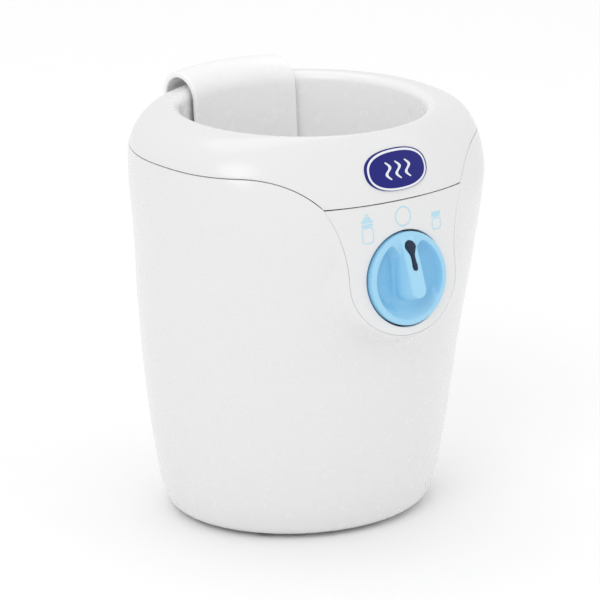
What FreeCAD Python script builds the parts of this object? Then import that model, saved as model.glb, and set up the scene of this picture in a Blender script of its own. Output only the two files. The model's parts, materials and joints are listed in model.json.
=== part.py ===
import FreeCAD, Part
import math
import os
import re
import Sketcher
from FreeCAD import Placement, Rotation, Vector

# Bottle warmer: a tapered oval housing with a round warming chamber, a rotary
# thermostat on a leaning front panel, and a lift-out tray hung over the back rim.
# Every piece is drawn about the chamber's axis, with z 0 in the plane that the feet
# stand on. The finished pieces move back by axis_setback, which puts the origin at
# the middle of the overall width and depth.
# The control panel faces -Y and +Z is up. Lengths are in millimetres, angles in degrees.

SIZES = {
    # the chamber's axis stands this far behind the middle of the overall depth
    "axis_setback": 4.7,
    # housing outline: half widths run along X, half depths along Y
    "base_half_width": 47.6,
    "base_half_depth": 43.3,
    "base_centre": 2.5,
    "base_clearance": 1.5,
    "collar_half_width": 64.5,
    "collar_half_depth": 55.4,
    "collar_centre": 1.5,
    "widest_height": 128,
    "shoulder_height": 133.6,
    "seam_height": 137.5,
    "wall": 2.4,
    # collar and chamber
    "crest_height": 150,
    "crest_radius": 47.5,
    "collar_back": 57,
    "brow_front": 54.8,
    "brow_foot_front": 57.1,
    "brow_start": 52.5,
    "brow_arc": 28.5,
    "rim_round": 3.5,
    "chamber_draft": 3.3,
    "chamber_floor": 44,
    "cup_seam": 118,
    "chamber_wall": 2.2,
    "floor_thickness": 2.4,
    "floor_hole_radius": 31,
    # control panel and the pod behind it
    "panel_reach": 60.9,
    "panel_lean": 8,
    "panel_bow": 105,
    "panel_thickness": 2.4,
    "panel_top": 127,
    "panel_bottom": 79.5,
    "panel_top_half_width": 30.5,
    "panel_neck_half_width": 23.5,
    "panel_flank_arc": 48,
    "pod_skirt": 3.5,
    "pod_back": 20,
    "pod_front": 80,
    "badge_half_width": 13.5,
    "badge_half_height": 7,
    "badge_height": 137.4,
    "badge_thickness": 0.8,
    # knob and thermostat, stacked along the knob's axis
    "knob_height": 99.4,
    "knob_radius": 16.5,
    "knob_gap": 0.5,
    "knob_rim_width": 1.6,
    "knob_rim_rise": 1.2,
    "knob_dish": 1.8,
    "knob_skirt_drop": 4,
    "spindle_top": 1.6,
    "lens_seat": 0.8,
    "grip_half_width": 3.1,
    "grip_rise": 6,
    "grip_tail": 8,
    "lens_head_radius": 2.6,
    "lens_neck_half_width": 1.1,
    "lens_rise": 0.6,
    "well_floor_drop": 6.2,
    "well_floor_thickness": 2,
    "well_wall": 1.6,
    "hub_radius": 5.4,
    "spindle_radius": 3,
    "spindle_flat": 2.2,
    "spindle_clearance": 0.05,
    "bushing_radius": 4.6,
    "thermostat_width": 26,
    "thermostat_length": 20,
    "thermostat_depth": 7,
    "thermostat_screw_spacing": 20,
    "lamp_radius": 2.3,
    "lamp_length": 5,
    # heater under the chamber
    "seal_thickness": 1.2,
    "plate_flange_radius": 34.5,
    "plate_flange_thickness": 2,
    "plate_clearance": 0.6,
    "plate_rise": 3.2,
    "element_ring_radius": 24,
    "element_radius": 3,
    "element_rib": 1.4,
    "element_gap": 0.1,
    "clamp_ring_thickness": 1.2,
    "clamp_ring_radius": 40,
    "clamp_screw_circle": 37.6,
    "clamp_boss_radius": 2.4,
    "probe_radius": 2,
    "probe_length": 16,
    "probe_offset": 13.5,
    "probe_drop": 2.2,
    "fuse_length": 14,
    "fuse_pin_radius": 0.6,
    "clip_thickness": 0.8,
    "clip_width": 6,
    "capillary_radius": 0.6,
    # base and wiring
    "base_thickness": 2.4,
    "base_recess": 0.3,
    "fit_clearance": 0.3,
    "base_boss_radius": 6,
    "base_boss_height": 14,
    "base_boss_x": 33,
    "base_boss_y": 24,
    "vent_half_width": 1.2,
    "vent_reach": 12,
    "foot_radius": 5,
    "foot_recess": 0.6,
    "foot_edge": 0.7,
    "foot_x": 22,
    "foot_y": 29,
    "shield_height": 27,
    "shield_radius": 38,
    "shield_thickness": 0.8,
    "shield_post_radius": 3,
    "shield_post_circle": 30,
    "collar_boss_x": 48,
    "collar_boss_y": 21.5,
    "collar_boss_radius": 3.5,
    "collar_lug_height": 114,
    "collar_lug_thickness": 4,
    "terminal_block_width": 34,
    "terminal_block_depth": 12,
    "terminal_block_height": 13,
    "terminal_block_y": 26,
    "inlet_height": 15,
    "inlet_bore": 3.5,
    "inlet_wall": 2.3,
    "inlet_flange": 2.2,
    "inlet_flange_thickness": 1.6,
    "clamp_bar_width": 26,
    "clamp_bar_depth": 8,
    "clamp_bar_thickness": 3,
    "lead_radius": 1,
    "wire_low": 9.5,
    # lift-out strap and tray
    "strap_half_width": 22.5,
    "strap_thickness": 2.2,
    "strap_wall_gap": 1.2,
    "strap_hook_gap": 3,
    "strap_leg_radius": 57.4,
    "strap_leg_end": 142.6,
    "strap_toe": 9,
    "tray_radius": 36.4,
    "tray_thickness": 2,
    "tray_height": 47.4,
    "tray_foot_gap": 0.3,
    "tray_foot_radius": 1.8,
    "tray_slot_radius": 2,
    # screws
    "screw_radius": 1.5,
    "screw_head_radius": 2.6,
    "screw_head_height": 1.5,
    "screw_bite": 9,
}

DOC = FreeCAD.newDocument("bottle_warmer")
SHEET = DOC.addObject("Spreadsheet::Sheet", "Sizes")
for row, (alias, number) in enumerate(SIZES.items(), 1):
    SHEET.set(f"A{row}", alias)
    SHEET.set(f"B{row}", str(number))
    SHEET.setAlias(f"B{row}", alias)
DOC.recompute()

NODES = []
FRONT_VIEW = Rotation(Vector(1, 0, 0), 90)
UPRIGHT = Rotation()


def bound(rule):
    """Turn a rule written in size names into an expression on the sheet."""
    return re.sub(r"[a-z_]+", lambda word: "Sizes." + word[0] if word[0] in SIZES else word[0], str(rule))


def size(rule):
    value = SHEET.evalExpression(bound(rule))
    return float(getattr(value, "Value", value))


def bind(thing, **rules):
    """Bind properties of a document object to rules, such as Radius="knob_radius"."""
    for name, rule in rules.items():
        thing.setExpression(name.replace("__", "."), bound(rule))
    return thing


def place(thing, x=0, y=0, z=0, turn=UPRIGHT, angle=None):
    """Place a document object; angle is a rule for the angle of its turn about turn's axis."""
    thing.Placement = Placement(Vector(0, 0, 0), turn)
    bind(thing, Placement__Base__x=x, Placement__Base__y=y, Placement__Base__z=z)
    if angle is not None:
        bind(thing, Placement__Rotation__Angle=angle)
    return thing


def keep(thing, label):
    thing.Label = label
    NODES.append(thing)
    return thing


# ---------------------------------------------------------------- sketch helpers

def draw(sketch, steps):
    """Draw a closed outline of (x, y) or (x, y, radius, side) steps, all of them rules.

    A step with a radius is reached by an arc; side is 1 where the arc bends left, -1 right.
    """
    ends = [Vector(size(step[0]), size(step[1]), 0) for step in steps]
    count = len(steps)
    for index in range(count):
        start, end, step = ends[index - 1], ends[index], steps[index]
        if len(step) == 2:
            sketch.addGeometry(Part.LineSegment(start, end))
            continue
        radius = size(step[2])
        chord = end - start
        half = chord.Length / 2
        normal = Vector(-chord.y, chord.x, 0).normalize() * step[3]
        centre = (start + end) * 0.5 + normal * math.sqrt(max(radius ** 2 - half ** 2, 0))
        first, last = (start, end) if step[3] > 0 else (end, start)
        circle = Part.Circle(centre, Vector(0, 0, 1), radius)
        sketch.addGeometry(Part.ArcOfCircle(circle, circle.parameter(first), circle.parameter(last)))
    for index, step in enumerate(steps):
        following = steps[(index + 1) % count]
        own_end = 1 if len(step) == 4 and step[3] < 0 else 2
        next_start = 2 if len(following) == 4 and following[3] < 0 else 1
        joint = Sketcher.Constraint("Coincident", index, own_end, (index + 1) % count, next_start)
        sketch.addConstraint(joint)
        pin(sketch, index, own_end, step[0], step[1])
        if len(step) == 4:
            spot = sketch.addConstraint(Sketcher.Constraint("Radius", index, size(step[2])))
            sketch.setExpression(f"Constraints[{spot}]", bound(step[2]))
    return sketch


def pin(sketch, index, end, x, y):
    """Fix a sketch point at (x, y) from the sketch's origin."""
    for axis, rule in (("DistanceX", x), ("DistanceY", y)):
        spot = sketch.addConstraint(Sketcher.Constraint(axis, -1, 1, index, end, size(rule)))
        sketch.setExpression(f"Constraints[{spot}]", bound(rule))


def ring(sketch, x, y, radius):
    """Add a circle to a sketch."""
    centre = Vector(size(x), size(y), 0)
    index = sketch.addGeometry(Part.Circle(centre, Vector(0, 0, 1), size(radius)))
    pin(sketch, index, 3, x, y)
    spot = sketch.addConstraint(Sketcher.Constraint("Radius", index, size(radius)))
    sketch.setExpression(f"Constraints[{spot}]", bound(radius))
    return sketch


def rectangle(sketch, x_low, y_low, x_high, y_high):
    return draw(sketch, [(x_low, y_low), (x_high, y_low), (x_high, y_high), (x_low, y_high)])


# ---------------------------------------------------------------- body helpers

def new_body(label, x=0, y=0, z=0, turn=UPRIGHT, angle=None, kept=True):
    """A body; kept is False where it only shapes another piece."""
    body = DOC.addObject("PartDesign::Body", label)
    place(body, x, y, z, turn, angle)
    return keep(body, label) if kept else body


def sketch_on(body, plane="XY_Plane", raised=0):
    sketch = body.newObject("Sketcher::SketchObject", f"{body.Label}_sketch")
    support = next(part for part in body.Origin.OriginFeatures if part.Role == plane)
    sketch.AttachmentSupport = [(support, "")]
    sketch.MapMode = "FlatFace"
    bind(sketch, AttachmentOffset__Base__z=raised)
    return sketch


def pad(body, sketch, length, down=False, both=False):
    feature = body.newObject("PartDesign::Pad", f"{body.Label}_pad")
    feature.Profile = sketch
    feature.Reversed = down
    feature.Midplane = both
    return bind(feature, Length=length)


def pocket(body, sketch, depth, up=False):
    """Cut a sketch's outline away, downwards from its plane unless up is set."""
    DOC.recompute()
    before = body.Shape.Volume
    feature = body.newObject("PartDesign::Pocket", f"{body.Label}_pocket")
    feature.Profile = sketch
    feature.Reversed = up
    bind(feature, Length=depth)
    DOC.recompute()
    assert body.Shape.Volume < before - 0.01, f"{body.Label}: a pocket cuts nothing"
    return feature


def revolve(body, sketch):
    feature = body.newObject("PartDesign::Revolution", f"{body.Label}_revolution")
    feature.Profile = sketch
    feature.ReferenceAxis = (sketch, ["V_Axis"])
    feature.Angle = 360
    return feature


def turned(label, steps, **where):
    """A body turned about its own Z axis from a half section of (radius, height) steps."""
    body = new_body(label, **where)
    revolve(body, draw(sketch_on(body, "XZ_Plane"), steps))
    return body


def polar(body, feature, count):
    """Repeat a feature about the body's Z axis."""
    pattern = body.newObject("PartDesign::PolarPattern", f"{body.Label}_pattern")
    pattern.Originals = [feature]
    axis = next(part for part in body.Origin.OriginFeatures if part.Role == "Z_Axis")
    pattern.Axis = (axis, [""])
    pattern.Angle = 360
    pattern.Occurrences = count
    body.Tip = pattern
    return pattern


# ---------------------------------------------------------------- Part helpers

def fuse(name, *shapes):
    feature = DOC.addObject("Part::MultiFuse", name)
    feature.Shapes = list(shapes)
    return feature


def cut(name, base, tool):
    feature = DOC.addObject("Part::Cut", name)
    feature.Base = base
    feature.Tool = tool
    return feature


def common(name, *shapes):
    feature = DOC.addObject("Part::MultiCommon", name)
    feature.Shapes = list(shapes)
    return feature


def cylinder(name, radius, height, **where):
    return place(bind(DOC.addObject("Part::Cylinder", name), Radius=radius, Height=height), **where)


def box(name, x_low, y_low, z_low, x_high, y_high, z_high):
    block = DOC.addObject("Part::Box", name)
    bind(block, Length=f"({x_high})-({x_low})", Width=f"({y_high})-({y_low})", Height=f"({z_high})-({z_low})")
    return place(block, x_low, y_low, z_low)


def oval(name, half_width, front, back, height):
    """An ellipse across the housing, from front to back along Y."""
    ellipse = DOC.addObject("Part::Ellipse", name)
    bind(ellipse, MajorRadius=half_width, MinorRadius=f"(({back})-({front}))/2")
    return place(ellipse, 0, f"(({back})+({front}))/2", height)


def loft(name, sections):
    feature = DOC.addObject("Part::Loft", name)
    feature.Sections = sections
    feature.Solid = True
    return feature


def front_prism(name, steps, near, far):
    """Extrude an outline of (x, height) steps along Y, from y = -near to y = -far."""
    sketch = DOC.addObject("Sketcher::SketchObject", f"{name}_sketch")
    place(sketch, 0, f"-({near})", 0, FRONT_VIEW)
    draw(sketch, steps)
    prism = DOC.addObject("Part::Extrusion", name)
    prism.Base = sketch
    prism.DirMode = "Custom"
    prism.Dir = Vector(0, -1, 0)
    prism.Solid = True
    return bind(prism, LengthFwd=f"({far})-({near})")


def screw(name, x, y, z, length, down=True):
    """A round-headed screw at the underside of its head; its shank runs down unless down is False."""
    sense = 1 if down else -1
    low = z if down else f"{z}-screw_head_height"
    head = cylinder(f"{name}_head", "screw_head_radius", "screw_head_height", x=x, y=y, z=low)
    low = f"{z}-({length})" if sense > 0 else z
    shank = cylinder(f"{name}_shank", "screw_radius", length, x=x, y=y, z=low)
    return fuse(name, head, shank)


def screw_group(label, spots, length, down=True):
    screws = [screw(f"{label}_{index}", x, y, z, length, down) for index, (x, y, z) in enumerate(spots)]
    group = DOC.addObject("Part::Compound", label)
    group.Links = screws
    return keep(group, label)


def four_ways(x, y, centre):
    """The four mirrored places about the housing's middle lines."""
    return [(f"({side})*{x}", f"{centre}+({end})*{y}") for side in (-1, 1) for end in (-1, 1)]


# ---------------------------------------------------------------- housing surfaces

BASE_LOW = "(base_clearance+base_recess)"
BASE_TOP = "(base_clearance+base_recess+base_thickness)"
CLAMP_STACK = "(seal_thickness+plate_flange_thickness)"
HULL_STEPS = (0, 0.015, 0.06, 0.18, 0.38, 0.62, 0.82, 1)
SHOULDER_ANGLES = (0, 20, 40, 55, 68, 80, 90)


def hull(name, inset):
    """The tapered oval housing, inset from its outer face."""
    sections = []
    for step in HULL_STEPS:
        part = f"sqrt({step})"
        half_width = f"base_half_width+(collar_half_width-base_half_width)*{part}-({inset})"
        half_depth = f"base_half_depth+(collar_half_depth-base_half_depth)*{part}-({inset})"
        centre = f"base_centre+(collar_centre-base_centre)*{step}"
        height = f"base_clearance+(widest_height-base_clearance)*{step}"
        if step == 0:
            height = f"base_clearance-({inset})"
        sections.append(oval(f"{name}_{len(sections)}", half_width, f"{centre}-({half_depth})",
                             f"{centre}+({half_depth})", height))
    half_depth = f"(collar_half_depth-({inset}))"
    for rise in ("wall", "5*wall"):
        sections.append(oval(f"{name}_{len(sections)}", f"collar_half_width-({inset})",
                             f"collar_centre-{half_depth}", f"collar_centre+{half_depth}",
                             f"seam_height+{rise}+({inset})"))
    return loft(name, sections)


def collar_solid(name, inset):
    """The rounded collar up to the round crest of the rim, inset from its outer face."""
    sections = []
    foot_front = "-(brow_foot_front+(panel_top-shoulder_height)*tan(-panel_lean))"
    foot = f"2*panel_top-shoulder_height-({inset})"
    for front, height in ((foot_front, foot), ("-brow_foot_front", "panel_top")):
        sections.append(oval(f"{name}_{len(sections)}", f"collar_half_width-({inset})",
                             f"{front}+({inset})", f"collar_back-({inset})", height))
    for angle in SHOULDER_ANGLES:
        out, up = f"cos({angle})", f"sin({angle})"
        reach = f"crest_radius-({inset})*{out}"
        sections.append(oval(
            f"{name}_{len(sections)}",
            f"{reach}+(collar_half_width-crest_radius)*{out}",
            f"-({reach}+(brow_front-crest_radius)*{out})",
            f"{reach}+(collar_back-crest_radius)*{out}",
            f"shoulder_height+(crest_height-shoulder_height-({inset}))*{up}"))
    return loft(name, sections)


def seam_outline():
    """Front view of everything that belongs to the collar: level at the sides, dipping to the panel."""
    return [
        ("-2*collar_half_width", "seam_height"),
        ("-brow_start", "seam_height"),
        ("-panel_top_half_width", "panel_top", "brow_arc", -1),
        ("panel_top_half_width", "panel_top"),
        ("brow_start", "seam_height", "brow_arc", -1),
        ("2*collar_half_width", "seam_height"),
        ("2*collar_half_width", "2*crest_height"),
        ("-2*collar_half_width", "2*crest_height"),
    ]


def panel_outline(inset, drop):
    """The shield shape of the panel, inset all round and with its foot dropped."""
    half_top = f"panel_top_half_width-({inset})"
    half_neck = f"panel_neck_half_width-({inset})"
    bend = f"panel_bottom-({drop})+panel_neck_half_width"
    return [
        (f"-({half_top})", f"panel_top-({inset})"),
        (f"-({half_neck})", bend, f"panel_flank_arc+({inset})+({drop})", -1),
        (0, f"{bend}-({half_neck})", half_neck, 1),
        (half_neck, bend, half_neck, 1),
        (half_top, f"panel_top-({inset})", f"panel_flank_arc+({inset})+({drop})", -1),
    ]


def panel_face(name, depth):
    """The big leaning cylinder whose front is the panel's bowed face, depth behind it."""
    radius = f"(panel_bow-({depth}))"
    return cylinder(
        name, radius, "2*crest_height",
        y="-panel_reach+panel_bow*cos(panel_lean)-crest_height*sin(panel_lean)",
        z="knob_height-panel_bow*sin(panel_lean)-crest_height*cos(panel_lean)",
        turn=Rotation(Vector(-1, 0, 0), 1), angle="panel_lean")


def chamber_radius(height):
    """The chamber's inner radius at a height."""
    return f"(crest_radius-rim_round-(crest_height-rim_round-({height}))*tan(chamber_draft))"


# ---------------------------------------------------------------- housing parts

def make_collar():
    """The smooth collar, turned over the rim into the top of the chamber's wall."""
    skin = cut("collar_skin", collar_solid("collar_outer", 0), collar_solid("collar_inner", "wall"))
    skin = common("collar_upper", skin, front_prism("collar_region", seam_outline(),
                                                    "-2*collar_half_depth", "2*collar_half_depth"))
    mouth = cylinder("collar_mouth", "crest_radius", "crest_height", z="shoulder_height")
    top = "crest_height-wall"
    skirt = turned("collar_skirt", [
        (f"{chamber_radius('cup_seam')}+chamber_wall", "cup_seam"),
        (f"{chamber_radius(top)}+chamber_wall", top), ("crest_radius", top), ("crest_radius", "crest_height"),
        (chamber_radius("crest_height-rim_round"), "crest_height-rim_round", "rim_round", 1),
        (chamber_radius("cup_seam"), "cup_seam")], kept=False)
    additions = [cut("collar_rim", skin, mouth), skirt]
    cuts = []
    foot = "(collar_lug_height+collar_lug_thickness)"
    posts = []
    for index, (x, y) in enumerate(collar_boss_spots()):
        posts.append(cylinder(f"collar_post_{index}", "collar_boss_radius", f"crest_height-{foot}",
                              x=x, y=y, z=foot))
        cuts.append(cylinder(f"collar_pilot_{index}", "screw_radius", "screw_bite+1",
                             x=x, y=y, z=f"{foot}-1"))
    limit = collar_solid("collar_limit", "wall/2")
    additions.append(common("collar_bosses", fuse("collar_posts", *posts), limit))
    solid = cut("collar_opened", fuse("collar_fused", *additions), fuse("collar_cuts", *cuts))
    return keep(solid, "chamber_collar")


def collar_boss_spots():
    """The four screws that hold the collar down on the lower housing."""
    return four_ways("collar_boss_x", "collar_boss_y", "collar_centre")


def clamp_spots():
    """The three clamp screws, evenly spaced round the chamber floor."""
    return [(f"clamp_screw_circle*cos({angle})", f"clamp_screw_circle*sin({angle})")
            for angle in (30, 150, 270)]


def make_chamber_cup():
    """The lower chamber wall with its floor ledge and the bosses of the clamp screws."""
    under = "chamber_floor-floor_thickness"
    body = turned("chamber_cup", [
        ("floor_hole_radius", under), (f"{chamber_radius(under)}+chamber_wall", under),
        (f"{chamber_radius('cup_seam')}+chamber_wall", "cup_seam"), (chamber_radius("cup_seam"), "cup_seam"),
        (chamber_radius("chamber_floor"), "chamber_floor"), ("floor_hole_radius", "chamber_floor")])
    for x, y in clamp_spots():
        boss = ring(sketch_on(body, raised="chamber_floor-floor_thickness/2"), x, y, "clamp_boss_radius")
        pad(body, boss, f"{CLAMP_STACK}+floor_thickness/2", down=True)
    for x, y in clamp_spots():
        pilot = ring(sketch_on(body, raised=f"{under}-{CLAMP_STACK}"), x, y, "screw_radius")
        pocket(body, pilot, f"{CLAMP_STACK}+0.5", up=True)
    return body


def make_outer_shell():
    """The lower housing with the pod that carries the panel, its screw bosses and its cord hole."""
    block = front_prism("pod_block", panel_outline("0", "pod_skirt"), "pod_back", "pod_front")
    pod = common("pod_solid", block,
                 panel_face("pod_face", "panel_thickness"))
    outer = fuse("shell_outer", hull("hull_outer", "0"), pod)
    hollow = fuse("shell_hollow", hull("hull_inner", "wall"),
                  front_prism("pod_hollow", panel_outline("wall", "pod_skirt"), "pod_back", "pod_front"))
    skin = cut("shell_skin", outer, hollow)
    inside = []
    cuts = [front_prism("shell_above_seam", seam_outline(), "-2*collar_half_depth", "2*collar_half_depth")]
    for index, (x, y) in enumerate(base_boss_spots()):
        inside.append(cylinder(f"base_post_{index}", "base_boss_radius", "base_boss_height",
                               x=x, y=y, z=BASE_TOP))
        cuts.append(cylinder(f"base_pilot_{index}", "screw_radius", "base_boss_height-2", x=x, y=y,
                             z=f"{BASE_TOP}-1"))
    for index, (x, y) in enumerate(collar_boss_spots()):
        edges = (f"{x}-collar_boss_radius", "collar_half_width")
        if index < 2:
            edges = ("-collar_half_width", f"{x}+collar_boss_radius")
        inside.append(box(f"lug_block_{index}", edges[0], f"{y}-collar_boss_radius", "collar_lug_height",
                          edges[1], f"{y}+collar_boss_radius", "collar_lug_height+collar_lug_thickness"))
        cuts.append(cylinder(f"lug_hole_{index}", "screw_radius+0.2", "3*collar_lug_thickness", x=x, y=y,
                             z="collar_lug_height-collar_lug_thickness"))
    additions = [skin, common("shell_bosses", fuse("shell_posts", *inside), hull("boss_limit", "wall/2"))]
    cuts.append(cylinder("inlet_hole", "inlet_bore+inlet_wall", "collar_half_depth", y="base_centre",
                         z="inlet_height", turn=Rotation(Vector(-1, 0, 0), 90)))
    solid = cut("shell_opened", fuse("shell_fused", *additions), fuse("shell_cuts", *cuts))
    return keep(solid, "outer_shell")


def base_boss_spots():
    return four_ways("base_boss_x", "base_boss_y", "base_centre")


def make_panel():
    """The bowed front panel with the cup that the knob turns in."""
    block = front_prism("panel_block", panel_outline("0", "0"), "pod_back", "pod_front")
    plate = common("panel_plate", block,
                   cut("panel_layer", panel_face("panel_front", "0"),
                       panel_face("panel_back", "panel_thickness")))
    cup = turned("panel_cup", [
        (0, "-well_floor_drop-well_floor_thickness"),
        ("knob_radius+knob_gap+well_wall", "-well_floor_drop-well_floor_thickness"),
        ("knob_radius+knob_gap+well_wall", "-panel_thickness"), (0, "-panel_thickness")],
        kept=False, **on_axis())
    hollow = turned("panel_cup_hollow", [
        (0, "-well_floor_drop"), ("knob_radius+knob_gap", "-well_floor_drop"),
        ("knob_radius+knob_gap", "grip_rise"), (0, "grip_rise")], kept=False, **on_axis())
    holes = new_body("panel_holes", kept=False, **on_axis())
    outline = sketch_on(holes)
    ring(outline, 0, 0, "bushing_radius+fit_clearance")
    pad(holes, outline, "2*well_floor_drop", down=True)
    for x in ("-thermostat_screw_spacing/2", "thermostat_screw_spacing/2"):
        pad(holes, ring(sketch_on(holes), x, 0, "screw_radius+0.2"), "2*well_floor_drop", down=True)
    pad(holes, ring(sketch_on(holes), 0, "knob_radius-lamp_radius-1", "lamp_radius-0.5"),
        "2*well_floor_drop", down=True)
    solid = cut("panel_opened", fuse("panel_fused", plate, cup), fuse("panel_cuts", hollow, holes))
    return keep(solid, "control_panel")


def on_axis():
    """Placement on the knob's axis: local Z points out of the panel, local Y up along it."""
    return {"y": "-panel_reach", "z": "knob_height", "turn": Rotation(Vector(1, 0, 0), 80),
            "angle": "90-panel_lean"}


def make_badge():
    """A plain oval badge that follows the brow's surface."""
    disc = DOC.addObject("Part::Ellipse", "badge_outline")
    bind(disc, MajorRadius="badge_half_width", MinorRadius="badge_half_height")
    place(disc, 0, "-pod_back", "badge_height", FRONT_VIEW)
    prism = DOC.addObject("Part::Extrusion", "badge_prism")
    prism.Base = disc
    prism.DirMode = "Custom"
    prism.Dir = Vector(0, -1, 0)
    prism.Solid = True
    bind(prism, LengthFwd="collar_half_depth")
    layer = cut("badge_layer", collar_solid("badge_face", "-badge_thickness"),
                collar_solid("badge_seat", "0"))
    return keep(common("badge_solid", prism, layer), "badge")


# ---------------------------------------------------------------- knob and thermostat

def make_knob():
    """The knob: a dished disc with a raised rim, a wedge-shaped grip and a hub for the spindle."""
    body = new_body("control_knob", **on_axis())
    floor_top = "knob_rim_rise-knob_dish"
    disc = draw(sketch_on(body, "XZ_Plane"), [
        ("spindle_radius", "-well_floor_drop+0.5"), ("hub_radius", "-well_floor_drop+0.5"),
        ("hub_radius", "-knob_skirt_drop+1.6"), ("knob_radius-1.4", "-knob_skirt_drop+1.6"),
        ("knob_radius-1.4", "-knob_skirt_drop"), ("knob_radius", "-knob_skirt_drop"),
        ("knob_radius", "knob_rim_rise-0.6"), ("knob_radius-0.6", "knob_rim_rise"),
        ("knob_radius-knob_rim_width", "knob_rim_rise"),
        ("knob_radius-knob_rim_width-1", floor_top), ("spindle_radius", floor_top)])
    revolve(body, disc)
    grip = draw(sketch_on(body, "YZ_Plane"), [
        ("-grip_tail-1.2", f"{floor_top}-0.5"), ("knob_radius-knob_rim_width", f"{floor_top}-0.5"),
        ("knob_radius-knob_rim_width", "knob_rim_rise"), ("-grip_tail+1", "knob_rim_rise+grip_rise"),
        ("-grip_tail", "knob_rim_rise+grip_rise-1")])
    pad(body, grip, "2*grip_half_width", both=True)
    bore = sketch_on(body, raised="-well_floor_drop")
    ring(bore, 0, 0, "spindle_radius")
    pocket(body, bore, "well_floor_drop+spindle_top", up=True)
    lens = lens_outline(sketch_on(body, raised="knob_rim_rise+grip_rise"))
    pocket(body, lens, "grip_rise+lens_seat")
    return body


def lens_outline(sketch):
    """The pointer: a round head near the rim and a narrow tail towards the knob's middle."""
    head, neck = "lens_head_radius", "lens_neck_half_width"
    start = "spindle_radius+1"
    middle = "knob_radius-knob_rim_width-lens_head_radius"
    shoulder = f"{middle}-sqrt({head}^2-{neck}^2)"
    return draw(sketch, [
        (f"-{neck}", start), (neck, start), (neck, shoulder),
        (head, middle, head, 1), (0, f"{middle}+{head}", head, 1), (f"-{head}", middle, head, 1),
        (f"-{neck}", shoulder, head, 1)])


def make_knob_lens():
    """The dark pointer inlay in the grip."""
    body = new_body("knob_lens", **on_axis())
    sketch = lens_outline(sketch_on(body, raised="knob_rim_rise-lens_seat"))
    pad(body, sketch, "lens_seat+lens_rise")
    return body


def make_spindle():
    """The thermostat's spindle, flatted where the knob drives on it."""
    body = new_body("knob_spindle", **on_axis())
    bottom = "-well_floor_drop-well_floor_thickness-thermostat_depth/2"
    pad(body, ring(sketch_on(body, raised=bottom), 0, 0, "spindle_radius"), f"spindle_top-({bottom})")
    flat = rectangle(sketch_on(body, raised="spindle_top"),
                     "-2*spindle_radius", "-2*spindle_radius", "2*spindle_radius", "-spindle_flat")
    pocket(body, flat, "spindle_top+knob_skirt_drop")
    return body


def make_thermostat():
    """The thermostat: moulded body, bushing, two tab terminals and two screws from the cup side."""
    back = "-well_floor_drop-well_floor_thickness"
    body = new_body("thermostat_body", **on_axis())
    outline = rectangle(sketch_on(body, raised=back), "-thermostat_width/2", "-thermostat_length/2",
                        "thermostat_width/2", "thermostat_length/2")
    pad(body, outline, "thermostat_depth", down=True)
    pocket(body, ring(sketch_on(body, raised=back), 0, 0, "bushing_radius"), "thermostat_depth/2+0.2")
    for x in ("-thermostat_screw_spacing/2", "thermostat_screw_spacing/2"):
        pocket(body, ring(sketch_on(body, raised=back), x, 0, "screw_radius"), "thermostat_depth-2")
    bushing = new_body("thermostat_bushing", **on_axis())
    tube = sketch_on(bushing, raised=f"{back}-thermostat_depth/2")
    ring(tube, 0, 0, "bushing_radius")
    ring(tube, 0, 0, "spindle_radius+spindle_clearance")
    pad(bushing, tube, "thermostat_depth/2+well_floor_thickness-0.2")
    middle = f"({back}-thermostat_depth/2-0.4)"
    tabs = []
    for index, x in enumerate((-8, 2)):
        tab = new_body(f"thermostat_tab_{index}", kept=False, **on_axis())
        blade = rectangle(sketch_on(tab, raised=middle), x, "-thermostat_length/2-7", f"{x}+5",
                          "-thermostat_length/2")
        pad(tab, blade, "0.8")
        tabs.append(tab)
    group = DOC.addObject("Part::Compound", "thermostat_terminals")
    group.Links = tabs
    keep(group, "thermostat_terminals")
    screws = []
    for index, x in enumerate(("-thermostat_screw_spacing/2", "thermostat_screw_spacing/2")):
        single = new_body(f"thermostat_screw_{index}", kept=False, **on_axis())
        pad(single, ring(sketch_on(single, raised="-well_floor_drop"), x, 0, "screw_head_radius"), "1.3")
        pad(single, ring(sketch_on(single, raised="-well_floor_drop"), x, 0, "screw_radius"),
            "well_floor_thickness+thermostat_depth-2.5", down=True)
        screws.append(single)
    group = DOC.addObject("Part::Compound", "thermostat_screws")
    group.Links = screws
    keep(group, "thermostat_screws")


def make_pilot_lamp():
    """The small lamp behind the cup's window."""
    body = new_body("pilot_lamp", **on_axis())
    back = "-well_floor_drop-well_floor_thickness"
    pad(body, ring(sketch_on(body, raised=back), 0, "knob_radius-lamp_radius-1", "lamp_radius"),
        "lamp_length", down=True)
    return body


# ---------------------------------------------------------------- heater

PLATE_UNDER = f"(chamber_floor-floor_thickness-{CLAMP_STACK})"
PROBE_HEIGHT = f"({PLATE_UNDER}-probe_drop)"
CLIP_DEPTH = "(probe_drop+probe_radius+clip_thickness+0.2)"


def make_heating_plate():
    """The cast plate: a raised disc in the chamber floor, a clamped flange and ribs for the element."""
    flange_top = f"{PLATE_UNDER}+plate_flange_thickness"
    disc = "floor_hole_radius-plate_clearance"
    inner, outer = "element_ring_radius-element_radius", "element_ring_radius+element_radius"
    rib = f"{PLATE_UNDER}-1.5*element_radius"
    turned("heating_plate", [
        (0, PLATE_UNDER), (f"{inner}-element_rib", PLATE_UNDER), (f"{inner}-element_rib", rib), (inner, rib),
        (inner, PLATE_UNDER), (outer, PLATE_UNDER), (outer, rib), (f"{outer}+element_rib", rib),
        (f"{outer}+element_rib", PLATE_UNDER), ("plate_flange_radius", PLATE_UNDER),
        ("plate_flange_radius", flange_top), (disc, flange_top), (disc, f"{flange_top}+plate_rise"),
        (0, f"{flange_top}+plate_rise")])


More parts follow.
